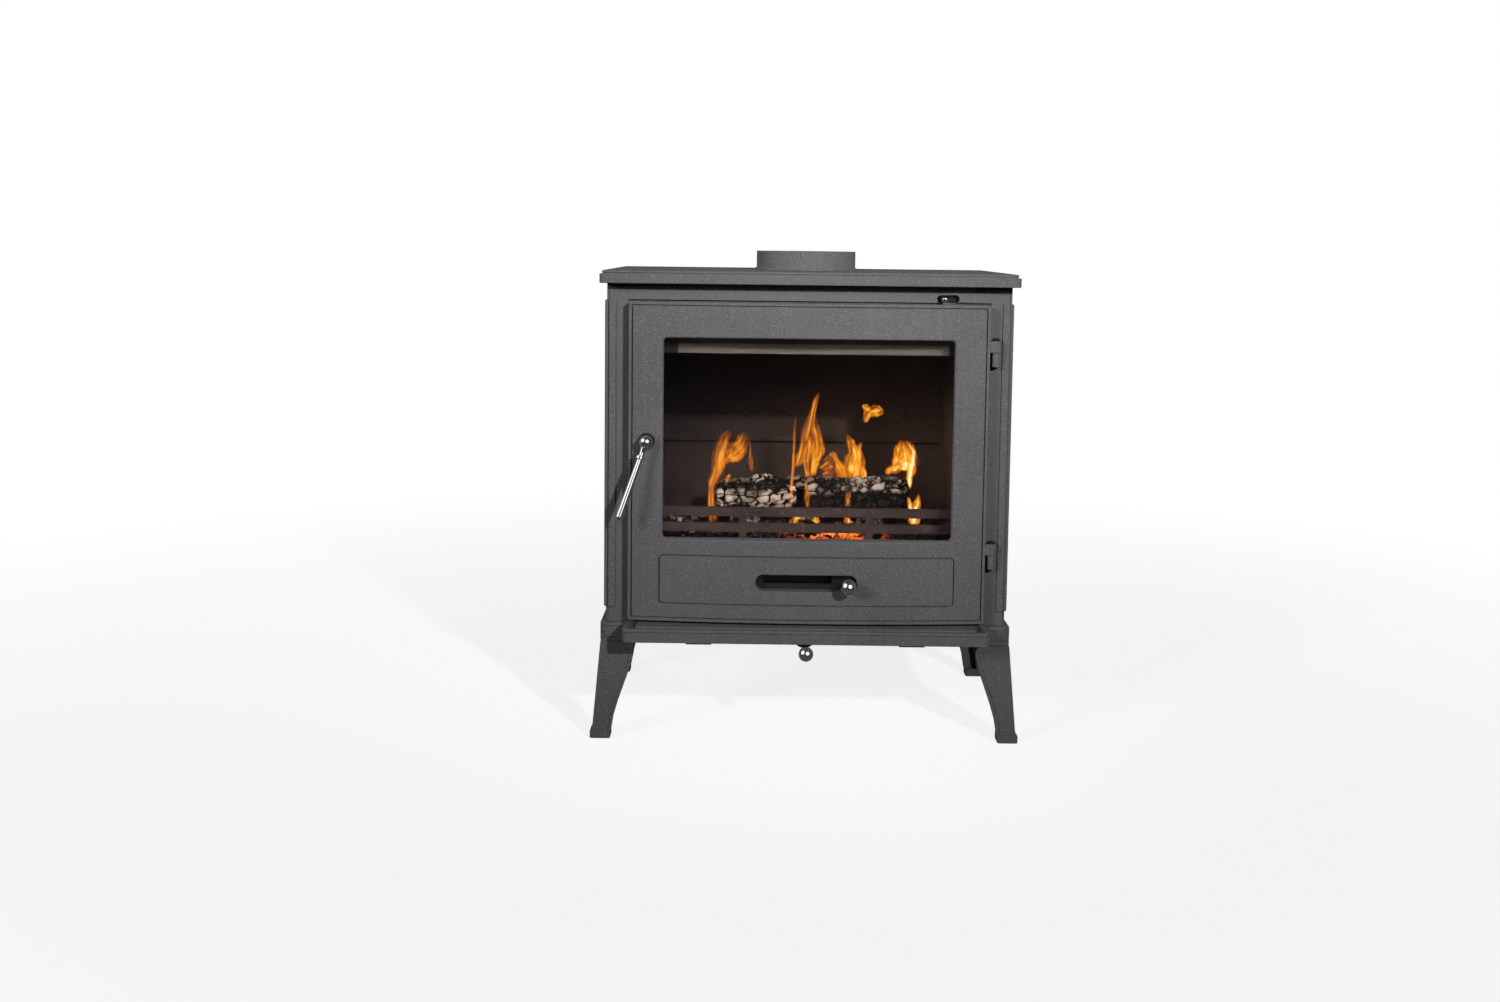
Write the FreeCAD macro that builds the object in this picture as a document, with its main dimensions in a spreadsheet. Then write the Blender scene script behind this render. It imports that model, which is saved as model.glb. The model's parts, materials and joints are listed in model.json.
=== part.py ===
import FreeCAD, Part
import os
import re

import Sketcher

# Cast iron wood stove: a shell of bolted castings on four legs, with a bowed glass door, lined
# firebox, riddling grate, ash pan and two air controls. Millimetres, +Z up, front towards -Y.
# The origin is on the floor, under the middle of the whole object.
SIZES = {
    # Where the flat front of the shell stands, the play between two fixed castings, and how far a
    # cutting tool runs past the face that it cuts.
    "front_y": -146.5,
    "joint_gap": 0.3,
    "tool_over": 1.0,
    # Legs: splayed castings of L section with a bolting pad above and a foot block below.
    "leg_height": 145.0,
    "pad_thick": 6.0,
    "pad_side": 53.0,
    "leg_inset": 1.0,
    "leg_top_width": 50.0,
    "leg_low_width": 27.0,
    "leg_web": 8.0,
    "leg_rim_width": 5.0,
    "leg_rim_rise": 1.5,
    "leg_splay_side": 11.0,
    "leg_splay_end": 6.0,
    "leg_sections": 7.0,
    "foot_height": 11.0,
    "foot_side": 29.0,
    "foot_lap": 3.0,
    "leg_bolt_radius": 5.0,
    "leg_bolt_depth": 9.0,
    # Base plate with a beaded upper edge, and two runners for the ash pan.
    "base_thick": 21.0,
    "base_over": 8.0,
    "base_corner": 14.0,
    "base_bead": 5.0,
    "base_round": 3.5,
    "base_groove": 1.2,
    "base_groove_depth": 1.2,
    "runner_width": 16.0,
    "runner_height": 22.0,
    # Ash lip in front of the door, with a channel inside its beaded edge.
    "lip_over": 4.7,
    "lip_reach": 62.0,
    "lip_low": 5.5,
    "lip_rise": 3.0,
    "lip_corner": 12.0,
    "lip_round": 2.0,
    "lip_bead": 4.0,
    "lip_groove": 1.5,
    "lip_groove_depth": 1.4,
    "lip_rim": 9.0,
    "lip_channel": 9.0,
    "lip_channel_depth": 4.0,
    "lip_lug_width": 36.0,
    "lip_lug_thick": 5.0,
    "lip_lug_x": 150.0,
    "lip_lug_front": 18.0,
    "lip_lug_back": 30.0,
    "lip_bolt_radius": 4.0,
    "lip_bolt_depth": 12.0,
    # Shell: front frame, sides and rear panel.
    "frame_side": 32.0,
    "head_band": 25.0,
    "body_depth": 355.0,
    "frame_thick": 10.0,
    "rear_thick": 10.0,
    "side_thick": 8.0,
    "side_lip": 3.0,
    "field_rise": 3.0,
    "field_low": 21.0,
    "field_high": 23.5,
    "field_setback": 1.5,
    "field_round": 2.4,
    "strip_width": 9.5,
    "strip_rise": 2.5,
    "rear_field_margin": 40.0,
    "ledge_thick": 8.0,
    "ledge_lap": 16.0,
    "ledge_margin": 50.0,
    # Top plate with a stepped, rounded edge.
    "top_band": 13.2,
    "top_groove": 1.2,
    "top_groove_depth": 1.2,
    "top_bead": 3.6,
    "top_step": 3.0,
    "top_side_over": 9.0,
    "top_front_over": 25.0,
    "top_rear_over": 10.0,
    "top_corner": 8.0,
    "top_round": 3.0,
    # Flue collar, bolted up from inside.
    "flue_radius": 75.0,
    "flue_wall": 6.0,
    "flue_rise": 28.0,
    "flue_back": 212.0,
    "flue_foot_rise": 3.0,
    "flue_neck": 2.0,
    "flange_width": 18.0,
    "flange_thick": 8.0,
    "collar_bolt_radius": 4.0,
    "collar_bolt_depth": 9.0,
    "collar_bolt_count": 4.0,
    # Tie rods that clamp the shell between base and top.
    "tie_radius": 4.0,
    "tie_side": 19.0,
    "tie_end": 26.0,
    "tie_depth": 10.0,
    # Bolt heads and nuts, as multiples of the thread's radius.
    "head_ratio": 1.85,
    "head_height_ratio": 1.3,
    # Door casting, bowed in plan, hollow behind.
    "door_width": 502.0,
    "door_height": 448.5,
    "door_lift": 6.5,
    "door_gap": 2.0,
    "door_edge": 16.0,
    "door_bow": 14.0,
    "door_corner": 3.0,
    "door_rim": 12.0,
    "pocket_depth": 12.0,
    "border_inset": 4.0,
    "border_width": 2.0,
    "groove_depth": 1.5,
    "panel_margin": 43.5,
    "panel_low": 24.8,
    "panel_height": 70.3,
    "panel_corner": 7.0,
    "window_margin": 49.1,
    "window_low": 118.4,
    "window_head": 50.2,
    "window_corner": 5.0,
    "window_draft": 3.0,
    "window_round": 3.0,
    # Ceramic glass, its gasket and clips.
    "glass_lap": 11.6,
    "glass_thick": 4.0,
    "gasket_thick": 1.5,
    "gasket_width": 6.0,
    "clip_width": 22.0,
    "clip_lap": 6.0,
    "clip_reach": 15.0,
    "clip_thick": 2.0,
    "clip_screw_radius": 2.5,
    "clip_screw_out": 8.5,
    "clip_pillar_radius": 5.0,
    "clip_side_rise": 100.0,
    "clip_end_x": 110.0,
    # Rope seal in a groove of the door's rim.
    "rope_width": 6.0,
    "rope_inset": 3.0,
    "rope_depth": 5.0,
    "rope_clearance": 0.3,
    # Hinges: lugs on the door turn on pins held in barrels on the frame.
    "hinge_out": 9.0,
    "hinge_forward": 9.0,
    "hinge_pin_radius": 4.0,
    "hinge_play": 0.05,
    "hinge_gap": 0.3,
    "barrel_radius": 6.0,
    "barrel_height": 20.0,
    "lug_radius": 7.5,
    "lug_height": 16.0,
    "upper_lug_drop": 65.5,
    "lower_lug_rise": 97.5,
    "pin_head_height": 3.5,
    "pin_head_radius": 6.5,
    # Door handle with its bush, spindle and latch.
    "handle_inset": 26.0,
    "handle_rise": 254.4,
    "handle_ring_radius": 13.5,
    "handle_ring_rise": 1.2,
    "bush_radius": 7.0,
    "bush_flange_radius": 11.5,
    "bush_flange_thick": 1.5,
    "bush_back": 6.0,
    "spindle_radius": 5.0,
    "spindle_play": 0.05,
    "spindle_thread": 3.0,
    "boss_radius": 9.5,
    "boss_length": 12.0,
    "boss_gap": 0.3,
    "lever_angle": 18.8,
    "lever_tilt": 9.0,
    "neck_length": 20.0,
    "neck_wide": 6.0,
    "neck_slim": 3.4,
    "ring_radius": 6.5,
    "ring_length": 5.0,
    "grip_length": 84.0,
    "grip_slim": 3.9,
    "grip_wide": 5.3,
    "grip_bore": 2.5,
    "grip_play": 0.02,
    "tongue_length": 23.5,
    "tongue_width": 8.0,
    "tongue_thick": 6.0,
    "tongue_rest_angle": 8.0,
    "tongue_eye": 7.0,
    "keeper_thick": 3.0,
    "keeper_width": 22.0,
    "keeper_height": 70.0,
    "keeper_edge": 2.0,
    "latch_gap": 0.3,
    "keeper_screw_radius": 2.5,
    "keeper_screw_inset": 10.0,
    # Primary air: a slide behind a slot in the door.
    "slot_length": 142.0,
    "slot_height": 22.5,
    "slot_rise": 57.5,
    "slot_round": 2.0,
    "slide_lap": 10.0,
    "slide_height": 44.0,
    "slide_thick": 2.5,
    "slide_play": 0.3,
    "air_travel": 116.0,
    "air_port_length": 96.0,
    "air_port_height": 13.0,
    "air_port_rise": 3.3,
    "stem_radius": 4.0,
    "knob_radius": 11.0,
    "knob_standoff": 22.0,
    "knob_collar_radius": 6.0,
    "knob_collar_length": 8.0,
    "knob_collar_back": 7.5,
    "rail_width": 6.0,
    "rail_lap": 4.0,
    "rail_lip_thick": 2.0,
    "rail_screw_radius": 1.5,
    # Airwash: a small slide behind a slot in the frame, under a sheet duct.
    "wash_slot_length": 31.0,
    "wash_slot_height": 11.0,
    "wash_port_height": 8.0,
    "wash_inset": 45.5,
    "wash_slot_drop": 17.5,
    "wash_travel": 12.0,
    "wash_stem_radius": 3.0,
    "wash_knob_radius": 5.0,
    "wash_knob_standoff": 9.0,
    "wash_slide_height": 20.0,
    "wash_slide_left": 90.0,
    "wash_slide_right": 30.0,
    "wash_slide_thick": 2.0,
    "wash_rail_width": 4.0,
    "wash_rail_lip": 3.0,
    "duct_over": 1.0,
    "duct_depth": 24.0,
    "duct_wall": 2.0,
    "duct_drop": 35.0,
    "duct_ear": 14.0,
    "duct_screw_radius": 2.5,
    "wash_slit": 3.0,
    "wash_lip_drop": 62.5,
    # Firebox: shelf, grate, bricks, throat plate and log guard.
    "shelf_rise": 84.0,
    "shelf_thick": 12.0,
    "shelf_front": 14.0,
    "shelf_upstand": 4.0,
    "shelf_upstand_height": 10.0,
    "brick_thick": 28.0,
    "lining_gap": 21.0,
    "brick_front": 45.0,
    "brick_rear_gap": 12.0,
    "rear_brick_thick": 25.0,
    "rear_brick_height": 124.0,
    "brick_drop": 107.0,
    "air_hole_radius": 2.5,
    "air_hole_pitch": 36.0,
    "air_hole_rise": 46.0,
    "air_hole_count": 12.0,
    "throat_thick": 17.0,
    "throat_front": 95.0,
    "guard_back": 22.0,
    "guard_thick": 8.0,
    "guard_side_gap": 21.0,
    "guard_height": 66.0,
    "guard_bar": 13.0,
    "guard_slot": 9.5,
    "guard_post": 10.0,
    "guard_post_x": 90.0,
    "grate_half_width": 150.0,
    "grate_length": 200.0,
    "grate_front": 80.0,
    "grate_thick": 12.0,
    "grate_lap": 12.0,
    "grate_seat": 8.0,
    "grate_slot": 9.0,
    "grate_pitch": 20.0,
    "grate_slots": 12.0,
    # Riddling gear: a slotted plate under the grate, drawn by a knob below the base.
    "riddle_half_width": 136.0,
    "riddle_length": 170.0,
    "riddle_thick": 8.0,
    "riddle_drop": 4.0,
    "riddle_play": 0.3,
    "riddle_travel": 36.0,
    "riddle_rail": 7.0,
    "riddle_rail_lap": 8.0,
    "riddle_rail_lip": 3.0,
    "riddle_rod_radius": 4.0,
    "riddle_rod_drop": 6.0,
    "riddle_rod_play": 0.08,
    "riddle_knob_radius": 10.2,
    "riddle_knob_out": 68.0,
    "riddle_collar_radius": 8.0,
    "riddle_collar_length": 10.0,
    "arm_width": 16.0,
    "arm_thick": 12.0,
    "arm_pan_gap": 10.0,
    "arm_clearance": 3.0,
    "tail_half_width": 14.0,
    "guide_radius": 17.0,
    "guide_thick": 8.0,
    "guide_front": 10.0,
    "guide_rear": 230.0,
    "guide_bolt_radius": 2.0,
    "guide_bolt_depth": 12.0,
    "guide_ear": 12.0,
    "guide_ear_thick": 3.0,
    # Ash pan of folded sheet.
    "pan_half_width": 185.0,
    "pan_front": 22.0,
    "pan_length": 226.0,
    "pan_height": 44.0,
    "pan_wall": 1.5,
    "pan_handle_width": 120.0,
    "pan_handle_reach": 10.0,
    "pan_handle_drop": 10.0,
}

doc = FreeCAD.newDocument("wood_stove")
sheet = doc.addObject("Spreadsheet::Sheet", "Sizes")
for row, (alias, size) in enumerate(SIZES.items(), start=1):
    sheet.set(f"A{row}", alias)
    sheet.set(f"B{row}", str(size))
    sheet.setAlias(f"B{row}", alias)
doc.recompute()
pieces = []
NEAR = 0.01


def bind(text):
    """An expression on the sheet, from plain names of sizes."""
    def cell(match):
        return f"Sizes.{match.group()}" if match.group() in SIZES else match.group()
    return re.sub(r"[A-Za-z_][A-Za-z_0-9]*", cell, str(text))


def value(text):
    return float(sheet.evalExpression(bind(text)))


def tie(thing, **bound):
    """Bind properties to expressions; x, y and z are the place."""
    for name, text in bound.items():
        path = f"Placement.Base.{name}" if name in ("x", "y", "z") else name
        thing.setExpression(path, bind(text))
    return thing


def block(x, y, z):
    """A box between pairs of expressions along each axis."""
    box = doc.addObject("Part::Box", "block")
    length, width, height = [f"({high}) - ({low})" for low, high in (x, y, z)]
    tie(box, Length=length, Width=width, Height=height)
    return tie(box, x=x[0], y=y[0], z=z[0])


TURNS = {
    "+Z": FreeCAD.Rotation(),
    "-Z": FreeCAD.Rotation(FreeCAD.Vector(1, 0, 0), 180),
    "+Y": FreeCAD.Rotation(FreeCAD.Vector(1, 0, 0), -90),
    "-Y": FreeCAD.Rotation(FreeCAD.Vector(1, 0, 0), 90),
}


def rod(radius, length, start, axis="+Z"):
    """A round bar that runs from its start along an axis."""
    bar = doc.addObject("Part::Cylinder", "rod")
    bar.Placement.Rotation = TURNS[axis]
    tie(bar, Radius=radius, Height=length)
    return tie(bar, x=start[0], y=start[1], z=start[2])


def cone(low, high, length, start, axis="+Z"):
    taper = doc.addObject("Part::Cone", "cone")
    taper.Placement.Rotation = TURNS[axis]
    tie(taper, Radius1=low, Radius2=high, Height=length)
    return tie(taper, x=start[0], y=start[1], z=start[2])


def ball(radius, centre):
    sphere = doc.addObject("Part::Sphere", "ball")
    tie(sphere, Radius=radius)
    return tie(sphere, x=centre[0], y=centre[1], z=centre[2])


def hexagon(radius, length, start, axis="+Z"):
    prism = doc.addObject("Part::Prism", "hexagon")
    prism.Polygon = 6
    prism.Placement.Rotation = TURNS[axis]
    tie(prism, Circumradius=radius, Height=length)
    return tie(prism, x=start[0], y=start[1], z=start[2])


def fuse(*solids):
    joined = doc.addObject("Part::MultiFuse", "fuse")
    joined.Shapes = list(solids)
    return joined


def cut(base, *tools):
    rest = doc.addObject("Part::Cut", "cut")
    rest.Base = base
    rest.Tool = tools[0] if len(tools) == 1 else fuse(*tools)
    return rest


def common(*solids):
    shared = doc.addObject("Part::MultiCommon", "common")
    shared.Shapes = list(solids)
    return shared


def group(*solids):
    """Like pieces that share one node, as separate solids."""
    joined = doc.addObject("Part::Compound", "group")
    joined.Links = list(solids)
    return joined


def mirror(source, normal, base_y="0"):
    copy = doc.addObject("Part::Mirroring", "mirror")
    copy.Source = source
    copy.Normal = FreeCAD.Vector(*normal)
    copy.Base = FreeCAD.Vector(0, value(base_y), 0)
    return copy


def piece(label, thing):
    thing.Label = label
    pieces.append(thing)
    return thing


def both(low, high):
    """The right and left copies of a span across the stove."""
    return ((low, high), (f"-({high})", f"-({low})"))


def edges(shape, test):
    return [f"Edge{number}" for number, edge in enumerate(shape.Edges, start=1) if test(edge)]


def upright(edge):
    return edge.BoundBox.ZLength > max(edge.BoundBox.XLength, edge.BoundBox.YLength, NEAR)


def fore_and_aft(edge):
    return edge.BoundBox.YLength > max(edge.BoundBox.XLength, edge.BoundBox.ZLength, NEAR)


def flat_at(level):
    """A test for edges that lie in the level plane at a height."""
    def test(edge):
        box = edge.BoundBox
        return box.ZLength < NEAR and abs(box.ZMin - level) < NEAR
    return test


def sketch(body, plane, offset):
    """An empty sketch on one of a body's own planes."""
    drawing = body.newObject("Sketcher::SketchObject", "sketch")
    origin_plane = next(f for f in body.Origin.OriginFeatures if f.Role == plane)
    drawing.AttachmentSupport = [(origin_plane, "")]
    drawing.MapMode = "FlatFace"
    drawing.setExpression("AttachmentOffset.Base.z", bind(offset))
    return drawing


def draw(drawing, points):
    """A closed outline of straight lines with every corner bound to the sheet."""
    corners = [FreeCAD.Vector(value(x), value(y), 0) for x, y in points]
    count = len(points)
    for index in range(count):
        drawing.addGeometry(Part.LineSegment(corners[index], corners[(index + 1) % count]), False)
    for index in range(count):
        drawing.addConstraint(Sketcher.Constraint("Coincident", index, 2, (index + 1) % count, 1))
    for index, corner in enumerate(corners):
        across, along = points[index]
        for kind, place, text in (("DistanceX", corner.x, across), ("DistanceY", corner.y, along)):
            number = drawing.addConstraint(Sketcher.Constraint(kind, -1, 1, index, 1, place))
            drawing.setExpression(f"Constraints[{number}]", bind(text))
    return drawing


def rectangle(x, y):
    return [(x[0], y[0]), (x[1], y[0]), (x[1], y[1]), (x[0], y[1])]


def pad(body, drawing, length):
    feature = body.newObject("PartDesign::Pad", "pad")
    feature.Profile = drawing
    tie(feature, Length=length)
    doc.recompute()
    return feature


def fillet(body, radius, test):
    """Round the edges of a body's last feature that pass a test."""
    last = body.Tip
    feature = body.newObject("PartDesign::Fillet", "fillet")
    feature.Base = (last, edges(last.Shape, test))
    tie(feature, Radius=radius)
    doc.recompute()
    return feature


def slab(x, y, z, corner, top_round=None, corner_test=upright):
    """A flat casting with rounded corners in plan and, where asked, a rounded upper edge."""
    body = doc.addObject("PartDesign::Body", "slab")
    pad(body, draw(sketch(body, "XY_Plane", z[0]), rectangle(x, y)), f"({z[1]}) - ({z[0]})")
    if corner:
        fillet(body, corner, corner_test)
    if top_round:
        fillet(body, top_round, flat_at(value(z[1])))
    return body


def panel(x, z, y, corner=None, draft=None):
    """An upright plate drawn from the front, with rounded corners; it may widen towards the front."""
    body = doc.addObject("PartDesign::Body", "panel")
    outline = draw(sketch(body, "XZ_Plane", f"-({y[1]})"), rectangle(x, z))
    plate = pad(body, outline, f"({y[1]}) - ({y[0]})")
    if draft:
        tie(plate, TaperAngle=draft)
        doc.recompute()
    if corner:
        fillet(body, corner, fore_and_aft)
    return body


def past(span):
    """A span that runs a little past both of its ends."""
    return (f"({span[0]}) - tool_over", f"({span[1]}) + tool_over")


def frame_ring(x, z, y, width, corner=None):
    """An upright rectangular ring, as wide all round as its width."""
    inner_x = (f"({x[0]}) + ({width})", f"({x[1]}) - ({width})")
    inner_z = (f"({z[0]}) + ({width})", f"({z[1]}) - ({width})")
    deeper = past(y)
    inner_corner = f"({corner}) - ({width})" if corner else None
    return cut(panel(x, z, y, corner), panel(inner_x, inner_z, deeper, inner_corner))


def rounded(thing, radius, test):
    """Round the edges of a finished shape that pass a test."""
    doc.recompute()
    soft = doc.addObject("Part::Fillet", "rounded")
    soft.Base = thing
    size = value(radius)
    chosen = enumerate(thing.Shape.Edges, start=1)
    soft.Edges = [(number, size, size) for number, edge in chosen if test(edge)]
    return soft


AWAY = {"+Z": "-Z", "-Z": "+Z", "+Y": "-Y", "-Y": "+Y"}


def bolt(radius, length, start, axis):
    """A hexagon headed bolt whose shank starts under its head."""
    head = hexagon(f"{radius} * head_ratio", f"{radius} * head_height_ratio", start, AWAY[axis])
    return fuse(head, rod(radius, length, start, axis))


def screw(radius, length, start, axis):
    """A round headed screw whose shank starts under its head."""
    head = rod(f"{radius} * head_ratio", f"{radius} * head_height_ratio", start, AWAY[axis])
    return fuse(head, rod(radius, length, start, axis))


# Levels and planes that several castings share; the shell takes its width and height from the door.
door_half = "(door_width / 2)"
body_height = "(door_lift + door_height + head_band)"
base_top = "(leg_height + base_thick)"
body_top = f"({base_top} + {body_height})"
top_thick = "(top_band + top_groove + top_bead)"
rear_y = "(front_y + body_depth)"
mid_y = "(front_y + body_depth / 2)"
frame_back = "(front_y + frame_thick)"
rear_inner = f"({rear_y} - rear_thick)"
body_half = f"({door_half} + frame_side)"
side_inner = f"({body_half} - side_thick)"
frame_half = f"({body_half} - side_lip - joint_gap)"
base_half = f"({body_half} + base_over)"
base_front = "(front_y - base_over)"
tie_x = f"({body_half} - tie_side)"
tie_ends = ("front_y + tie_end", f"{rear_y} - tie_end")
tie_places = [(f"{side} * {tie_x}", y) for side in (1, -1) for y in tie_ends]
opening_half = f"({door_half} - door_rim)"
brick_outer = f"({side_inner} - lining_gap - shelf_upstand)"


def leg():
    """Front right leg: an L section that narrows and splays down to its foot block."""
    foot_top = "foot_height"
    pad_low = "(leg_height - pad_thick)"
    body = doc.addObject("PartDesign::Body", "leg")
    sections = []
    last = int(value("leg_sections")) - 1
    for step in range(last + 1):
        share = step / last
        swell = share ** 2 * (3 - 2 * share)
        corner_x = f"({base_half} - leg_inset + leg_splay_side * {1 - share})"
        corner_y = f"({base_front} + leg_inset - leg_splay_end * {1 - share})"
        width = f"(leg_low_width + (leg_top_width - leg_low_width) * {swell})"
        inner = f"({width} - leg_rim_width)"
        inward = [
            ("0", "0"), (inner, "0"), (inner, "-leg_rim_rise"), (width, "-leg_rim_rise"),
            (width, "leg_web"), ("leg_web", "leg_web"), ("leg_web", width),
            ("-leg_rim_rise", width), ("-leg_rim_rise", inner), ("0", inner),
        ]
        level = f"{foot_top} + ({pad_low} - {foot_top}) * {share}"
        outline = [(f"{corner_x} - ({u})", f"{corner_y} + ({v})") for u, v in inward]
        sections.append(draw(sketch(body, "XY_Plane", level), outline))
    doc.recompute()
    shaft = body.newObject("PartDesign::AdditiveLoft", "shaft")
    shaft.Profile = sections[0]
    shaft.Sections = sections[1:]
    shaft.Ruled = True
    doc.recompute()
    pad_x = (f"{base_half} - pad_side", base_half)
    pad_y = (base_front, f"{base_front} + pad_side")
    outer_x = value(base_half)
    outer_y = value(base_front)

    def outer_corner(edge):
        box = edge.BoundBox
        return upright(edge) and box.XMin > outer_x - NEAR and box.YMax < outer_y + NEAR

    flange = slab(pad_x, pad_y, (pad_low, "leg_height"), "base_corner", corner_test=outer_corner)
    foot_x = f"({base_half} - leg_inset + leg_splay_side + foot_lap)"
    foot_y = f"({base_front} + leg_inset - leg_splay_end - foot_lap)"
    foot_spans = ((f"{foot_x} - foot_side", foot_x), (foot_y, f"{foot_y} + foot_side"))
    foot = slab(*foot_spans, ("0", foot_top), "foot_lap")
    hole = rod("leg_bolt_radius + joint_gap", "pad_thick", (leg_bolt_x, leg_bolt_y, pad_low))
    return cut(fuse(body, flange, foot), hole)


leg_bolt_x = f"({base_half} - pad_side / 2 - leg_web / 2)"
leg_bolt_y = f"({base_front} + pad_side / 2 + leg_web / 2)"
leg_bolt_rear_y = f"({rear_y} + base_over - pad_side / 2 - leg_web / 2)"
leg_bolt_ends = (leg_bolt_y, leg_bolt_rear_y)
leg_bolt_places = [(f"{side} * {leg_bolt_x}", y) for side in (1, -1) for y in leg_bolt_ends]
front_right = piece("leg_front_right", leg())
doc.recompute()
piece("leg_front_left", mirror(front_right, (1, 0, 0)))
rear_right = piece("leg_rear_right", mirror(front_right, (0, 1, 0), mid_y))
piece("leg_rear_left", mirror(rear_right, (1, 0, 0)))
leg_bolts = [
    bolt("leg_bolt_radius", "pad_thick + leg_bolt_depth", (x, y, "leg_height - pad_thick"), "+Z")
    for x, y in leg_bolt_places
]
piece("leg_bolts", group(*leg_bolts))

# Base plate: carries the shell, the legs, the ash pan's runners and the riddling gear.
lip_bolt_y = f"({base_front} + lip_lug_back / 2)"
lip_bolt_places = [(f"{side} * lip_lug_x", lip_bolt_y) for side in (1, -1)]
guide_bolt_x = "(guide_radius + guide_ear / 2)"
guide_bolt_places = [
    (f"{side} * {guide_bolt_x}", f"front_y + {place} + guide_thick / 2")
    for side in (1, -1) for place in ("guide_front", "guide_rear")
]
pan_y = ("(front_y + pan_front)", "(front_y + pan_front + pan_length)")
pan_low = f"({base_top} + runner_height)"
arm_front = f"({pan_y[1]} + arm_pan_gap + riddle_travel)"
arm_y = (arm_front, f"({arm_front} + arm_thick)")
base_holes = [
    rod("leg_bolt_radius + joint_gap", "leg_bolt_depth + joint_gap", (x, y, "leg_height"))
    for x, y in leg_bolt_places
]
base_holes += [
    rod("tie_radius + joint_gap", "tie_depth + joint_gap", (x, y, f"{base_top} - tie_depth - joint_gap"))
    for x, y in tie_places
]
base_holes += [
    rod("lip_bolt_radius + joint_gap", "lip_bolt_depth + joint_gap", (x, y, "leg_height"))
    for x, y in lip_bolt_places
]
base_holes += [
    rod("guide_bolt_radius + joint_gap", "guide_bolt_depth + joint_gap", (x, y, "leg_height"))
    for x, y in guide_bolt_places
]
base_holes.append(block(
    ("-arm_width / 2 - arm_clearance", "arm_width / 2 + arm_clearance"),
    (f"{arm_y[0]} - riddle_travel - arm_clearance", f"{arm_y[1]} + arm_clearance"),
    ("leg_height", base_top),
))
runners = [
    block(x, pan_y, (base_top, pan_low)) for x in both("pan_half_width - runner_width", "pan_half_width")
]
base_x = (f"-{base_half}", base_half)
base_y = (base_front, f"({rear_y} + base_over)")
base_neck_x = (f"-({base_half} - base_groove_depth)", f"{base_half} - base_groove_depth")
base_neck_y = (f"{base_y[0]} + base_groove_depth", f"{base_y[1]} - base_groove_depth")
bead_low = f"({base_top} - base_bead)"
base_waist = f"({bead_low} - base_groove)"
base_slabs = [
    slab(base_x, base_y, ("leg_height", base_waist), "base_corner"),
    slab(base_neck_x, base_neck_y, (base_waist, bead_low), "base_corner - base_groove_depth"),
    slab(base_x, base_y, (bead_low, base_top), "base_corner", "base_round"),
]
piece("base_plate", cut(fuse(*base_slabs, *runners), *base_holes))


def ash_lip():
    """A shelf with a beaded edge and a channel, carried on two lugs that bolt under the base plate."""
    half = f"({door_half} + lip_over)"
    front = "(front_y - lip_reach)"
    back = f"({base_front} - joint_gap)"
    low = "(leg_height + lip_low)"
    high = f"({base_top} + lip_rise)"
    waist = f"({high} - lip_bead - lip_groove)"
    middle_y = value(f"({front} + {back}) / 2")

    def front_corner(edge):
        return upright(edge) and edge.BoundBox.YMax < middle_y

    wide = (f"-{half}", half)
    narrow = (f"-{half} + lip_groove_depth", f"{half} - lip_groove_depth")
    lower = slab(wide, (front, back), (low, waist), "lip_corner", corner_test=front_corner)
    neck = slab(
        narrow, (f"{front} + lip_groove_depth", back), (waist, f"{waist} + lip_groove"),
        "lip_corner - lip_groove_depth", corner_test=front_corner,
    )
    bead = slab(
        wide, (front, back), (f"{waist} + lip_groove", high), "lip_corner", "lip_round",
        corner_test=front_corner,
    )

    def inside(margin, corner):
        """The lip's outline drawn in by a margin, as deep as the channel."""
        x = (f"-({half} - ({margin}))", f"{half} - ({margin})")
        y = (f"{front} + ({margin})", f"{back} + tool_over")
        z = (f"{high} - lip_channel_depth", f"{high} + tool_over")
        return slab(x, y, z, corner, corner_test=front_corner)

    channel = cut(inside("lip_rim", "lip_corner / 2"), inside("lip_rim + lip_channel", "lip_corner / 4"))
    tongue = block(wide, (back, "front_y - joint_gap"), (base_top, high))
    lug_low = "(leg_height - lip_lug_thick)"
    lugs = []
    for x in both("lip_lug_x - lip_lug_width / 2", "lip_lug_x + lip_lug_width / 2"):
        near = f"({base_front} - lip_lug_front)"
        lugs.append(block(x, (near, back), (lug_low, low)))
        lugs.append(block(x, (near, f"{base_front} + lip_lug_back"), (lug_low, "leg_height")))
    holes = [rod("lip_bolt_radius + joint_gap", "lip_lug_thick", (x, y, lug_low)) for x, y in lip_bolt_places]
    shelf = cut(fuse(lower, neck, bead), channel)
    return cut(fuse(shelf, tongue, *lugs), *holes)


piece("ash_lip", ash_lip())
lip_bolts = [
    bolt("lip_bolt_radius", "lip_lug_thick + lip_bolt_depth", (x, y, "leg_height - lip_lug_thick"), "+Z")
    for x, y in lip_bolt_places
]
piece("lip_bolts", group(*lip_bolts))

# Door: places that the frame, hinges, latch and door share.
door_low = f"({base_top} + door_lift)"
door_high = f"({door_low} + door_height)"
door_back = "(front_y - door_gap)"
door_floor = f"({door_back} - pocket_depth)"
door_crown = f"({door_back} - door_edge - door_bow)"
bow_radius = f"(({door_half} ^ 2 + door_bow ^ 2) / (2 * door_bow))"
opening_x = (f"-{opening_half}", opening_half)
opening_z = (f"({door_low} + door_rim)", f"({door_high} - door_rim)")
hinge_x = f"({door_half} + hinge_out)"
hinge_y = "(front_y - hinge_forward)"
lug_levels = [f"({door_low} + lower_lug_rise)", f"({door_high} - upper_lug_drop)"]
handle_x = f"(handle_inset - {door_half})"
handle_z = f"({door_low} + handle_rise)"
slot_z = f"({door_low} + slot_rise)"
wash_slot_x = f"({opening_half} - wash_inset)"
wash_z = f"({body_top} - wash_slot_drop)"


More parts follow.
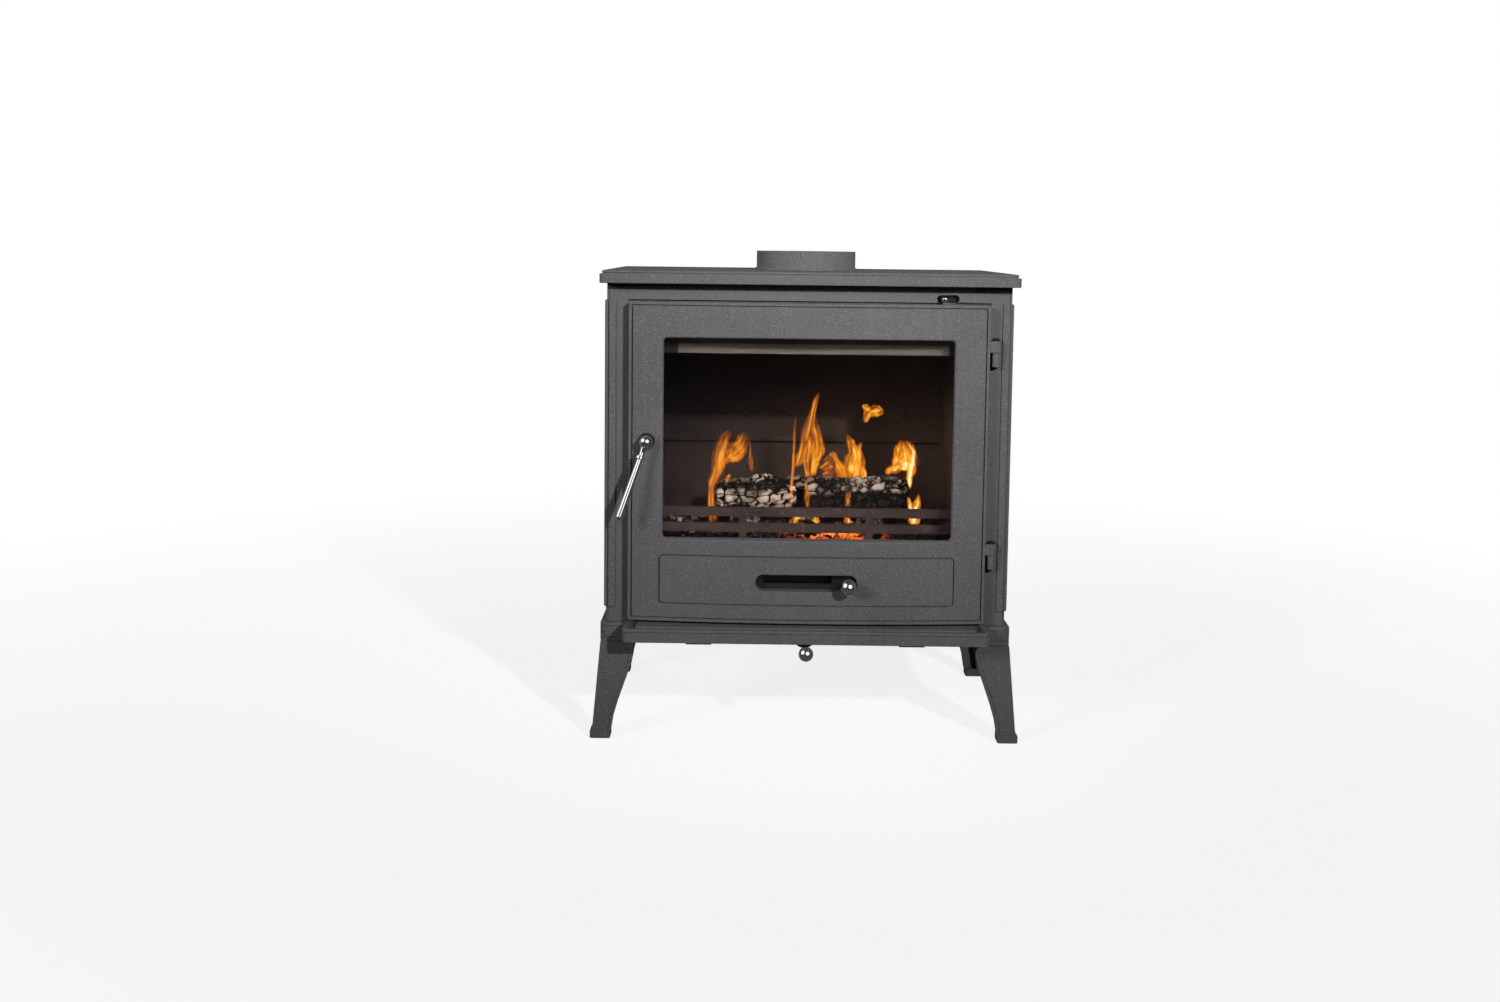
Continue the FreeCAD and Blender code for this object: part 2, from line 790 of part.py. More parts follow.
def door_front(x):
    """Where the bowed face of the door stands at a place across the door."""
    return f"({door_crown} + {bow_radius} - sqrt({bow_radius} ^ 2 - ({x}) ^ 2))"


def obround(length, height, x, z, y):
    """A level slot with round ends, cut along the depth."""
    reach = f"(({length}) - ({height})) / 2"
    half = f"({height}) / 2"
    depth = f"({y[1]}) - ({y[0]})"
    ends = [rod(half, depth, (f"{x} + {side} * {reach}", y[0], z), "+Y") for side in (1, -1)]
    middle = block((f"{x} - {reach}", f"{x} + {reach}"), y, (f"{z} - {half}", f"{z} + {half}"))
    return fuse(middle, *ends)


field_z = (f"({base_top} + field_low)", f"({body_top} - field_high)")
field_y = ("(front_y + field_setback)", f"({rear_y} - field_setback)")
shelf_under = f"({base_top} + shelf_rise)"
shelf_top = f"({shelf_under} + shelf_thick)"


def front_frame():
    """The front casting: door opening, corner strips, hinge barrels and the airwash slot."""
    plate = panel((f"-{frame_half}", frame_half), (base_top, body_top), ("front_y", frame_back))
    strips = []
    for x in both(f"{frame_half} - strip_width", frame_half):
        strips.append(slab(x, ("front_y - strip_rise", frame_back), field_z, None))
    barrels = []
    bores = []
    for level in lug_levels:
        low = f"({level} - hinge_gap - barrel_height)"
        barrels.append(rod("barrel_radius", "barrel_height", (hinge_x, hinge_y, low)))
        web_x = (f"{hinge_x} - barrel_radius", f"{hinge_x} + barrel_radius")
        barrels.append(block(web_x, (hinge_y, frame_back), (low, f"{low} + barrel_height")))
        bores.append(rod("hinge_pin_radius + hinge_play", "barrel_height", (hinge_x, hinge_y, low)))
    through = past(("front_y", frame_back))
    opening = panel(opening_x, opening_z, through, "door_rim / 2")
    slot = obround("wash_slot_length", "wash_slot_height", wash_slot_x, wash_z, through)
    threads = [("duct_screw_radius", place) for place in duct_screws]
    threads += [("keeper_screw_radius", place) for place in keeper_screws]
    screws = [
        rod(f"{radius} + joint_gap", "frame_thick / 2", (x, frame_back, z), "-Y")
        for radius, (x, z) in threads
    ]
    return cut(fuse(plate, *strips, *barrels), opening, slot, *bores, *screws)


duct_z = (f"({body_top} - duct_drop)", f"({body_top} - joint_gap)")
duct_half = f"({opening_half} + duct_over)"
duct_screws = [
    (f"{side} * ({duct_half} + duct_ear / 2)", f"({duct_z[0]} + {duct_z[1]}) / 2") for side in (1, -1)
]
keeper_x = (f"({opening_x[0]} - keeper_edge - keeper_width)", f"({opening_x[0]} - keeper_edge)")
keeper_z = (f"({handle_z} - keeper_height / 2)", f"({handle_z} + keeper_height / 2)")
keeper_screws = [
    (f"({keeper_x[0]} + {keeper_x[1]}) / 2", z)
    for z in (f"{keeper_z[0]} + keeper_screw_inset", f"{keeper_z[1]} - keeper_screw_inset")
]
piece("front_frame", front_frame())


def right_side():
    """A side casting: wall, lips that lap front and rear, raised field, and a ledge for the shelf."""
    wall = block((side_inner, f"{body_half} - side_lip"), (frame_back, rear_inner), (base_top, body_top))
    lip = block((f"{body_half} - side_lip", body_half), field_y, (base_top, body_top))
    field = slab((f"{body_half} - side_lip", f"{body_half} + field_rise"), field_y, field_z, None)
    outside = value(f"{body_half} + field_rise")
    fillet(field, "field_round", lambda e: e.BoundBox.XMin > outside - NEAR)
    ledge = block(
        (f"{brick_outer} + shelf_upstand - ledge_lap", f"{body_half} - side_lip"),
        ("front_y + ledge_margin", f"{rear_y} - ledge_margin"), (f"{shelf_under} - ledge_thick", shelf_under),
    )
    return fuse(wall, lip, field, ledge)


side_right = piece("right_side", right_side())
doc.recompute()
piece("left_side", mirror(side_right, (1, 0, 0)))
rear_field = panel(
    (f"-({frame_half} - rear_field_margin)", f"{frame_half} - rear_field_margin"),
    (f"{base_top} + rear_field_margin", f"{body_top} - rear_field_margin"),
    (rear_inner, f"{rear_y} + field_rise"),
)
rear_wall = panel((f"-{frame_half}", frame_half), (base_top, body_top), (rear_inner, rear_y))
piece("rear_panel", fuse(rear_wall, rear_field))

# Top plate and flue collar.
top_half = f"({body_half} + top_side_over)"
top_y = ("(front_y - top_front_over)", f"({rear_y} + top_rear_over)")
band_top = f"({body_top} + top_band)"
flue_y = "(front_y + flue_back)"
collar_bolt_reach = "(flue_radius + flue_neck + flange_width / 2)"
collar_bolt_places = []
for number in range(int(value("collar_bolt_count"))):
    turn = f"(360 * {number + 0.5} / collar_bolt_count)"
    collar_bolt_places.append((
        f"{collar_bolt_reach} * cos({turn})", f"{flue_y} + {collar_bolt_reach} * sin({turn})",
    ))
groove_top = f"({band_top} + top_groove)"


def top_layer(inset, z, top_round=None):
    """One layer of the top plate, drawn in all round by an inset."""
    across = (f"-({top_half} - ({inset}))", f"{top_half} - ({inset})")
    along = (f"{top_y[0]} + ({inset})", f"{top_y[1]} - ({inset})")
    return slab(across, along, z, f"top_corner - ({inset}) / 2", top_round)


top_layers = [
    top_layer("0", (body_top, band_top)),
    top_layer("top_step + top_groove_depth", (band_top, groove_top)),
    top_layer("top_step", (groove_top, f"{body_top} + {top_thick}"), "top_round"),
]
top_holes = [rod("flue_radius + flue_neck + joint_gap", top_thick, ("0", flue_y, body_top))]
top_holes += [rod("tie_radius + joint_gap", "tie_depth + joint_gap", (x, y, body_top)) for x, y in tie_places]
top_holes += [
    rod("collar_bolt_radius + joint_gap", "collar_bolt_depth + joint_gap", (x, y, body_top))
    for x, y in collar_bolt_places
]
piece("top_plate", cut(fuse(*top_layers), *top_holes))

flange_low = f"({body_top} - flange_thick)"
collar_start = ("0", flue_y, flange_low)
collar_height = f"flange_thick + {top_thick} + flue_rise"
collar_solid = fuse(
    rod("flue_radius + flue_neck + flange_width", "flange_thick", collar_start),
    rod("flue_radius + flue_neck", f"flange_thick + {top_thick} + flue_foot_rise", collar_start),
    rod("flue_radius", collar_height, collar_start),
)
collar_bore = rod("flue_radius - flue_wall", collar_height, collar_start)
collar_holes = [
    rod("collar_bolt_radius + joint_gap", "flange_thick", (x, y, flange_low)) for x, y in collar_bolt_places
]
piece("flue_collar", cut(collar_solid, collar_bore, *collar_holes))
collar_bolts = [
    bolt("collar_bolt_radius", "flange_thick + collar_bolt_depth", (x, y, flange_low), "+Z")
    for x, y in collar_bolt_places
]
piece("collar_bolts", group(*collar_bolts))

# Tie rods with a nut against the base plate and one against the top plate.
tie_length = f"{body_height} + 2 * tie_depth"
tie_low = f"{base_top} - tie_depth"
piece("tie_rods", group(*[rod("tie_radius", tie_length, (x, y, tie_low)) for x, y in tie_places]))
nut_height = "(tie_radius * head_height_ratio)"
tie_nuts = []
for x, y in tie_places:
    for level in (base_top, f"({body_top} - {nut_height})"):
        nut = hexagon("tie_radius * head_ratio", nut_height, (x, y, level))
        tie_nuts.append(cut(nut, rod("tie_radius + hinge_play", nut_height, (x, y, level))))
piece("tie_rod_nuts", group(*tie_nuts))

# Firebox: a cast shelf on the side ledges carries the grate, bricks and log guard.
shelf_half = f"({brick_outer} + shelf_upstand)"
brick_back = f"({rear_inner} - brick_rear_gap)"
brick_face = f"({brick_back} - rear_brick_thick)"
brick_start = "(front_y + brick_front)"
brick_top = f"({body_top} - brick_drop)"
grate_x = ("-grate_half_width", "grate_half_width")
grate_y = ("(front_y + grate_front)", "(front_y + grate_front + grate_length)")
grate_low = f"({shelf_top} - grate_seat)"
riddle_high = f"({shelf_under} - riddle_drop)"
riddle_low = f"({riddle_high} - riddle_thick)"
riddle_y = (
    "(front_y + grate_front + (grate_length - riddle_length) / 2)",
    "(front_y + grate_front + (grate_length + riddle_length) / 2)",
)


def grate_shelf():
    """The cast floor: upstands round the bricks, a seat for the grate and rails for the riddling plate."""
    across = (f"-{shelf_half}", shelf_half)
    back = f"({brick_back} + shelf_upstand)"
    plate = block(across, ("front_y + shelf_front", back), (shelf_under, shelf_top))
    upstand_z = (shelf_under, f"{shelf_top} + shelf_upstand_height")
    walls = [block(x, (brick_start, back), upstand_z) for x in both(brick_outer, shelf_half)]
    walls.append(block(across, (brick_back, back), upstand_z))
    rail_y = (f"{riddle_y[0]} - riddle_travel", riddle_y[1])
    rail_low = f"({riddle_low} - riddle_play - riddle_rail_lip)"
    rail_in = "(riddle_half_width + riddle_play)"
    for x in both(rail_in, f"{rail_in} + riddle_rail"):
        walls.append(block(x, rail_y, (rail_low, shelf_under)))
    for x in both("riddle_half_width - riddle_rail_lap", f"{rail_in} + riddle_rail"):
        walls.append(block(x, rail_y, (rail_low, f"{riddle_low} - riddle_play")))
    seat = block(
        ("-grate_half_width - joint_gap", "grate_half_width + joint_gap"),
        (f"{grate_y[0]} - joint_gap", f"{grate_y[1]} + joint_gap"), (grate_low, f"{shelf_top} + tool_over"),
    )
    hole = block(
        ("-grate_half_width + grate_lap", "grate_half_width - grate_lap"),
        (f"{grate_y[0]} + grate_lap", f"{grate_y[1]} - grate_lap"), (f"{shelf_under} - tool_over", grate_low),
    )
    return cut(fuse(plate, *walls), seat, hole)


def ash_slots(y, z):
    """The row of slots that lets ash fall through the grate."""
    count = int(value("grate_slots"))
    slots = []
    for number in range(count):
        middle = f"(grate_pitch * {number - (count - 1) / 2})"
        slots.append(block((f"{middle} - grate_slot / 2", f"{middle} + grate_slot / 2"), y, z))
    return slots


piece("grate_shelf", grate_shelf())
grate_z = (grate_low, f"{grate_low} + grate_thick")
grate_slot_y = (f"{grate_y[0]} + 2 * grate_lap", f"{grate_y[1]} - 2 * grate_lap")
piece("fire_grate", cut(block(grate_x, grate_y, grate_z), *ash_slots(grate_slot_y, grate_z)))
brick_spans = both(f"{brick_outer} - brick_thick", brick_outer)
for label, x in zip(("brick_right", "brick_left"), brick_spans):
    piece(label, block(x, (brick_start, brick_face), (shelf_top, brick_top)))
rear_seam = f"({shelf_top} + rear_brick_height)"
rear_brick_x = (f"-{brick_outer}", brick_outer)
piece("brick_rear_lower", block(rear_brick_x, (brick_face, brick_back), (shelf_top, rear_seam)))
hole_count = int(value("air_hole_count"))
air_holes = []
for number in range(hole_count):
    hole_x = f"air_hole_pitch * {number - (hole_count - 1) / 2}"
    hole_start = (hole_x, brick_face, f"{rear_seam} + air_hole_rise")
    air_holes.append(rod("air_hole_radius", "rear_brick_thick", hole_start, "+Y"))
upper_brick = block(rear_brick_x, (brick_face, brick_back), (rear_seam, brick_top))
piece("brick_rear_upper", cut(upper_brick, *air_holes))
throat_z = (brick_top, f"{brick_top} + throat_thick")
piece("throat_plate", block(rear_brick_x, ("front_y + throat_front", brick_back), throat_z))


def log_guard():
    """A low cast fence with two rows of slots between posts."""
    y = ("(front_y + guard_back)", "(front_y + guard_back + guard_thick)")
    high = f"({shelf_top} + guard_height)"
    half = f"({opening_half} - guard_side_gap)"
    fence = panel((f"-{half}", half), (shelf_top, high), y)
    bays = [("-guard_post_x + guard_post / 2", "guard_post_x - guard_post / 2")]
    bays += both("guard_post_x + guard_post / 2", f"{half} - guard_post")
    slots = []
    for row in range(2):
        level = f"({high} - guard_bar - guard_slot / 2 - {row} * (guard_bar + guard_slot))"
        for low, far in bays:
            middle = f"(({low}) + ({far})) / 2"
            slots.append(obround(f"({far}) - ({low})", "guard_slot", middle, level, past(y)))
    return cut(fence, *slots)


piece("log_guard", log_guard())


def ash_pan():
    """A folded sheet tray with a turned-down grip along its front edge."""
    x = ("-pan_half_width", "pan_half_width")
    high = f"({pan_low} + pan_height)"
    inner_x = (f"{x[0]} + pan_wall", f"{x[1]} - pan_wall")
    inner_y = (f"{pan_y[0]} + pan_wall", f"{pan_y[1]} - pan_wall")
    inside = block(inner_x, inner_y, (f"{pan_low} + pan_wall", f"{high} + tool_over"))
    tray = cut(block(x, pan_y, (pan_low, high)), inside)
    grip_x = ("-pan_handle_width / 2", "pan_handle_width / 2")
    grip_y = f"({pan_y[0]} - pan_handle_reach)"
    shelf = block(grip_x, (grip_y, pan_y[0]), (f"{high} - pan_wall", high))
    turn_down = block(grip_x, (grip_y, f"{grip_y} + pan_wall"), (f"{high} - pan_handle_drop", high))
    return fuse(tray, shelf, turn_down)


piece("ash_pan", ash_pan())

# Airwash duct and slide behind the upper part of the frame. The duct's floor turns down into a lip that
# leads the air through a slit and down over the glass.
duct_back = f"({frame_back} + duct_depth)"
duct_inner_x = (f"-({duct_half} - duct_wall)", f"{duct_half} - duct_wall")
duct_inner_y = (f"{frame_back} - tool_over", f"{duct_back} - duct_wall")
duct_inner_z = (f"{duct_z[0]} - tool_over", f"{duct_z[1]} - duct_wall")
duct_across = (f"-{duct_half}", duct_half)
duct_shell = cut(
    block(duct_across, (frame_back, duct_back), duct_z), block(duct_inner_x, duct_inner_y, duct_inner_z)
)
duct_ear_y = (frame_back, f"{frame_back} + duct_wall")
duct_ears = [block(x, duct_ear_y, duct_z) for x in both(duct_half, f"{duct_half} + duct_ear")]
duct_holes = [
    rod("duct_screw_radius + joint_gap", "duct_wall", (x, frame_back, z), "+Y") for x, z in duct_screws
]
wash_lip_y = f"({frame_back} + wash_slit)"
duct_floor_high = f"{duct_z[0]} + duct_wall"
duct_floor = block(duct_across, (wash_lip_y, duct_back), (duct_z[0], duct_floor_high))
wash_lip_z = (f"{duct_z[0]} - wash_lip_drop", duct_floor_high)
wash_lip = block(duct_across, (wash_lip_y, f"{wash_lip_y} + duct_wall"), wash_lip_z)
piece("airwash_duct", cut(fuse(duct_shell, duct_floor, wash_lip, *duct_ears), *duct_holes))
piece("duct_screws", group(*[
    screw("duct_screw_radius", "duct_wall + frame_thick / 2 - joint_gap", (x, duct_ear_y[1], z), "-Y")
    for x, z in duct_screws
]))

wash_x = f"({wash_slot_x} - wash_travel / 2)"
wash_span = (f"{wash_x} - wash_slide_left", f"{wash_x} + wash_slide_right")
wash_y = (f"({frame_back} + slide_play)", f"({frame_back} + slide_play + wash_slide_thick)")
wash_slide_z = (f"({wash_z} - wash_slide_height / 2)", f"({wash_z} + wash_slide_height / 2)")
port_x = (f"{wash_x} - wash_travel - wash_slot_height", f"{wash_x} - wash_slot_height / 2")
port_z = (f"{wash_z} - wash_port_height / 2", f"{wash_z} + wash_port_height / 2")
wash_port = block(port_x, past(wash_y), port_z)
piece("airwash_slide", cut(block(wash_span, wash_y, wash_slide_z), wash_port))
wash_knob_y = "(front_y - wash_knob_standoff)"
piece("airwash_knob", fuse(
    rod("wash_stem_radius", f"{wash_y[0]} - {wash_knob_y}", (wash_x, wash_y[0], wash_z), "-Y"),
    ball("wash_knob_radius", (wash_x, wash_knob_y, wash_z)),
))
rail_span = (wash_span[0], f"{wash_span[1]} + wash_travel")
lip_back = f"({wash_y[1]} + slide_play)"
wash_rails = []
for side in (1, -1):
    edge = f"({wash_z} + {side} * (wash_slide_height / 2 + slide_play))"
    outer = f"({edge} + {side} * wash_rail_width)"
    inner = f"({edge} - {side} * (wash_rail_lip + slide_play))"
    web_z = (edge, outer) if side > 0 else (outer, edge)
    lip_z = (inner, outer) if side > 0 else (outer, inner)
    web = block(rail_span, (frame_back, lip_back), web_z)
    wash_rails.append(fuse(web, block(rail_span, (lip_back, f"{lip_back} + duct_wall"), lip_z)))
piece("airwash_rails", group(*wash_rails))

# Riddling gear below the base plate and under the grate.
rod_z = "(leg_height - riddle_rod_drop)"
guides = []
ear_low = "(leg_height - guide_ear_thick)"
for place in ("guide_front", "guide_rear"):
    near = f"(front_y + {place})"
    guide_y = (near, f"{near} + guide_thick")
    disc = rod("guide_radius", "guide_thick", ("0", near, "leg_height"), "+Y")
    below = block(("-guide_radius", "guide_radius"), guide_y, ("leg_height - guide_radius", "leg_height"))
    ear_x = "(guide_radius + guide_ear)"
    ears = block((f"-{ear_x}", ear_x), guide_y, (ear_low, "leg_height"))
    eye = rod("riddle_rod_radius + riddle_rod_play", "guide_thick", ("0", near, rod_z), "+Y")
    ear_middles = [(f"{side} * {guide_bolt_x}", f"{near} + guide_thick / 2", ear_low) for side in (1, -1)]
    holes = [rod("guide_bolt_radius + joint_gap", "guide_ear_thick", middle) for middle in ear_middles]
    guides.append(cut(fuse(common(disc, below), ears), eye, *holes))
piece("riddle_guides", group(*guides))
piece("riddle_guide_bolts", group(*[
    bolt("guide_bolt_radius", "guide_ear_thick + guide_bolt_depth", (x, y, ear_low), "+Z")
    for x, y in guide_bolt_places
]))

riddle_knob_y = "(front_y - riddle_knob_out)"
collar_y = f"({riddle_knob_y} + riddle_knob_radius / 2)"
rod_length = f"{arm_y[1]} - {riddle_knob_y}"
piece("riddle_rod", rod("riddle_rod_radius", rod_length, ("0", riddle_knob_y, rod_z), "+Y"))
piece("riddle_knob", cut(
    fuse(
        ball("riddle_knob_radius", ("0", riddle_knob_y, rod_z)),
        rod("riddle_collar_radius", "riddle_collar_length", ("0", collar_y, rod_z), "+Y"),
    ),
    rod("riddle_rod_radius + hinge_play", "riddle_knob_out", ("0", riddle_knob_y, rod_z), "+Y"),
))
piece("riddle_arm", cut(
    block(("-arm_width / 2", "arm_width / 2"), arm_y, (f"{rod_z} - arm_width / 2", riddle_low)),
    rod("riddle_rod_radius + hinge_play", "arm_thick", ("0", arm_y[0], rod_z), "+Y"),
))
riddle_z = (riddle_low, riddle_high)
riddle_slot_y = (f"{riddle_y[0]} + grate_lap", f"{riddle_y[1]} - grate_lap")
riddle_plate = block(("-riddle_half_width", "riddle_half_width"), riddle_y, riddle_z)
tail_y = (f"{riddle_y[1]} - grate_lap", arm_y[1])
riddle_tail = block(("-tail_half_width", "tail_half_width"), tail_y, riddle_z)
piece("riddle_plate", fuse(cut(riddle_plate, *ash_slots(riddle_slot_y, riddle_z)), riddle_tail))

# Hinge pins stand in the frame's barrels; the door's lugs turn on them.
hinge_pins = []
for level in lug_levels:
    pin_low = f"({level} - hinge_gap - barrel_height)"
    head_low = f"({level} + lug_height + hinge_gap)"
    hinge_pins.append(fuse(
        rod("hinge_pin_radius", f"{head_low} - {pin_low}", (hinge_x, hinge_y, pin_low)),
        cone("pin_head_radius", "pin_head_radius / 2", "pin_head_height", (hinge_x, hinge_y, head_low)),
    ))
piece("hinge_pins", group(*hinge_pins))

# Latch keeper, screwed behind the frame beside the opening.
keeper_y = (frame_back, f"({frame_back} + keeper_thick)")
keeper_holes = [
    rod("keeper_screw_radius + joint_gap", "keeper_thick", (x, frame_back, z), "+Y") for x, z in keeper_screws
]
piece("latch_keeper", cut(block(keeper_x, keeper_y, keeper_z), *keeper_holes))
piece("keeper_screws", group(*[
    screw("keeper_screw_radius", "keeper_thick + frame_thick / 2 - joint_gap", (x, keeper_y[1], z), "-Y")
    for x, z in keeper_screws
]))

# Door: window, glass and clips.
window_half = f"({door_half} - window_margin)"
window_z = (f"({door_low} + window_low)", f"({door_high} - window_head)")
glass_half = f"({window_half} + glass_lap)"
glass_x = (f"-{glass_half}", glass_half)
glass_z = (f"({window_z[0]} - glass_lap)", f"({window_z[1]} + glass_lap)")
glass_y = (f"({door_floor} + gasket_thick)", f"({door_floor} + gasket_thick + glass_thick)")
clip_y = (glass_y[1], f"({glass_y[1]} + clip_thick)")
clip_reach = "gasket_thick + glass_thick + clip_thick"
window_middle = f"(({window_z[0]} + {window_z[1]}) / 2)"
clips = []
clip_places = []
for rise in ("-clip_side_rise", "clip_side_rise"):
    level = f"({window_middle} + {rise})"
    for side, x in zip((1, -1), both(f"{glass_half} - clip_lap", f"{glass_half} + clip_reach")):
        clips.append((x, (f"{level} - clip_width / 2", f"{level} + clip_width / 2")))
        clip_places.append((f"{side} * ({glass_half} + clip_screw_out)", level))
for side in (1, -1):
    middle = f"({side} * clip_end_x)"
    across = (f"{middle} - clip_width / 2", f"{middle} + clip_width / 2")
    clips.append((across, (f"{glass_z[1]} - clip_lap", f"{glass_z[1]} + clip_reach")))
    clip_places.append((middle, f"{glass_z[1]} + clip_screw_out"))
    clips.append((across, (f"{glass_z[0]} - clip_reach", f"{glass_z[0]} + clip_lap")))
    clip_places.append((middle, f"{glass_z[0]} - clip_screw_out"))

# Primary air slide: its rails are screwed to the floor of the door's hollow.
slide_y = (f"({door_floor} + slide_play)", f"({door_floor} + slide_play + slide_thick)")
slide_half_z = "(slide_height / 2)"
rail_half = "(slot_length / 2 + slide_lap + air_travel)"
rail_back = f"({slide_y[1]} + slide_play)"
rail_depth = f"({rail_back} + rail_lip_thick - {door_floor})"
rail_screws = []
for side in (1, -1):
    for x in (f"-{rail_half} + rail_width", "0", f"{rail_half} - rail_width"):
        rail_screws.append((x, f"{slot_z} + {side} * ({slide_half_z} + slide_play + rail_width / 2)"))


def door_casting():
    """The bowed door: grooves, window, air slot, rope groove, hinge lugs and clip pillars."""
    across = (f"-{door_half}", door_half)
    upright_z = (door_low, door_high)
    bow_y = f"({door_crown} + {bow_radius})"
    bow_start = ("0", bow_y, f"{door_low} - tool_over")
    bow = rod(bow_radius, "door_height + 2 * tool_over", bow_start)
    skin = rod(f"{bow_radius} - groove_depth", "door_height + 2 * tool_over", bow_start)
    plate = common(panel(across, upright_z, (f"{door_crown} - tool_over", door_back), "door_corner"), bow)
    through = past((door_crown, door_back))
    border = frame_ring(
        (f"-({door_half} - border_inset)", f"{door_half} - border_inset"),
        (f"{door_low} + border_inset", f"{door_high} - border_inset"), through, "border_width",
    )
    lower_x = (f"-({door_half} - panel_margin)", f"{door_half} - panel_margin")
    lower_z = (f"{door_low} + panel_low", f"{door_low} + panel_low + panel_height")
    lower_panel = frame_ring(lower_x, lower_z, through, "border_width", "panel_corner")
    grooves = cut(fuse(border, lower_panel), skin)
    hollow = panel(opening_x, opening_z, (door_floor, f"{door_back} + tool_over"), "door_rim / 2")
    window_x = (f"-{window_half}", window_half)
    window = panel(window_x, window_z, past((door_crown, door_floor)), "window_corner", "window_draft")
    rope_room = (f"{door_back} - rope_depth", f"{door_back} + tool_over")
    rope_groove = frame_ring(rope_x, rope_z, rope_room, "rope_width")
    slot = obround("slot_length", "slot_height", "0", slot_z, through)
    axis_y = value(bow_y)
    face_radius = value(bow_radius)
    panel_x = value(lower_x[1])
    slot_x = value("slot_length / 2")
    slot_span = [value(f"{slot_z} + {side} * slot_height / 2") for side in (-1, 1)]
    window_floor = value(lower_z[1])
    window_roof = value(f"{door_high} - border_inset - border_width")

    def on_face(edge):
        """Whether an edge lies in the bowed face."""
        places = [edge.valueAt(share) for share in (edge.FirstParameter, edge.LastParameter)]
        return all(abs(FreeCAD.Vector(p.x, p.y - axis_y, 0).Length - face_radius) < NEAR for p in places)

    def window_rim(edge):
        box = edge.BoundBox
        between = window_floor + NEAR < box.ZMin and box.ZMax < window_roof - NEAR
        return on_face(edge) and between and max(-box.XMin, box.XMax) < panel_x

    def slot_rim(edge):
        box = edge.BoundBox
        between = slot_span[0] - NEAR < box.ZMin and box.ZMax < slot_span[1] + NEAR
        return on_face(edge) and between and max(-box.XMin, box.XMax) < slot_x + NEAR

    bare = cut(plate, grooves, hollow, window, rope_groove, slot)
    eased = rounded(rounded(bare, "window_round", window_rim), "slot_round", slot_rim)
    handle_bore = rod("bush_radius", f"{through[1]} - ({through[0]})", (handle_x, through[0], handle_z), "+Y")
    ring = rod("handle_ring_radius", f"{door_floor} - {ring_y}", (handle_x, ring_y, handle_z), "+Y")
    lugs = []
    bores = []
    for level in lug_levels:
        lug_z = (level, f"{level} + lug_height")
        lugs.append(rod("lug_radius", "lug_height", (hinge_x, hinge_y, level)))
        arm_x = (f"{door_half} - rope_inset", hinge_x)
        lugs.append(block(arm_x, (f"{hinge_y} - lug_radius", f"{hinge_y} + lug_radius - door_gap"), lug_z))
        bores.append(rod("hinge_pin_radius + hinge_play", "lug_height", (hinge_x, hinge_y, level)))
    pillars = [
        rod("clip_pillar_radius", "gasket_thick + glass_thick", (x, door_floor, z), "+Y")
        for x, z in clip_places
    ]
    pillar_holes = [
        rod("clip_screw_radius + hinge_play", clip_reach, (x, glass_y[1], z), "-Y")
        for x, z in clip_places
    ]
    rail_holes = [
        rod("rail_screw_radius + hinge_play", "rail_lip_thick + joint_gap", (x, door_floor, z), "-Y")
        for x, z in rail_screws
    ]
    return cut(fuse(eased, ring, *lugs, *pillars), handle_bore, *bores, *pillar_holes, *rail_holes)


rope_x = (f"-({door_half} - rope_inset)", f"({door_half} - rope_inset)")
rope_z = (f"({door_low} + rope_inset)", f"({door_high} - rope_inset)")
ring_y = f"({door_front(handle_x)} - handle_ring_rise)"
piece("door_casting", door_casting())
rope_y = (f"{door_back} - rope_depth", "front_y - rope_clearance")
piece("door_rope", frame_ring(rope_x, rope_z, rope_y, "rope_width"))
piece("glass_gasket", frame_ring(glass_x, glass_z, (door_floor, glass_y[0]), "gasket_width"))
piece("door_glass", panel(glass_x, glass_z, glass_y))
clip_solids = []
for (x, z), (hole_x, hole_z) in zip(clips, clip_places):
    clip_hole = rod("clip_screw_radius + hinge_play", "clip_thick", (hole_x, clip_y[0], hole_z), "+Y")
    clip_solids.append(cut(block(x, clip_y, z), clip_hole))
piece("glass_clips", group(*clip_solids))
piece("clip_screws", group(*[
    screw("clip_screw_radius", f"{clip_reach} + clip_thick - joint_gap", (x, clip_y[1], z), "-Y")
    for x, z in clip_places
]))

air_x = "(air_travel / 2)"
slide_x = ("-(slot_length / 2 + slide_lap)", rail_half)
slide_z = (f"({slot_z} - {slide_half_z})", f"({slot_z} + {slide_half_z})")
port_left = "(slot_height / 2 - slot_length / 2)"
port_low = f"({slot_z} + air_port_rise - air_port_height / 2)"
air_port_z = (port_low, f"{port_low} + air_port_height")
air_port = block((port_left, f"{port_left} + air_port_length"), past(slide_y), air_port_z)
piece("air_slide", cut(block(slide_x, slide_y, slide_z), air_port))
knob_y = f"({door_front(air_x)} - knob_standoff)"
piece("air_knob", fuse(
    rod("stem_radius", f"{slide_y[0]} - {knob_y}", (air_x, slide_y[0], slot_z), "-Y"),
    rod("knob_collar_radius", "knob_collar_length", (air_x, f"{knob_y} + knob_collar_back", slot_z), "+Y"),
    ball("knob_radius", (air_x, knob_y, slot_z)),
))
rails = []
for side in (1, -1):
    edge = f"({slot_z} + {side} * ({slide_half_z} + slide_play))"
    outer = f"({edge} + {side} * rail_width)"
    inner = f"({edge} - {side} * rail_lap)"
    web_z = (edge, outer) if side > 0 else (outer, edge)
    lip_z = (inner, outer) if side > 0 else (outer, inner)
    span = (f"-{rail_half}", rail_half)
    web = block(span, (door_floor, rail_back), web_z)
    strip = fuse(web, block(span, (rail_back, f"{rail_back} + rail_lip_thick"), lip_z))
    holes = [
        rod("rail_screw_radius + hinge_play", rail_depth, (x, door_floor, z), "+Y")
        for x, z in rail_screws if z.startswith(f"{slot_z} + {side} ")
    ]
    rails.append(cut(strip, *holes))
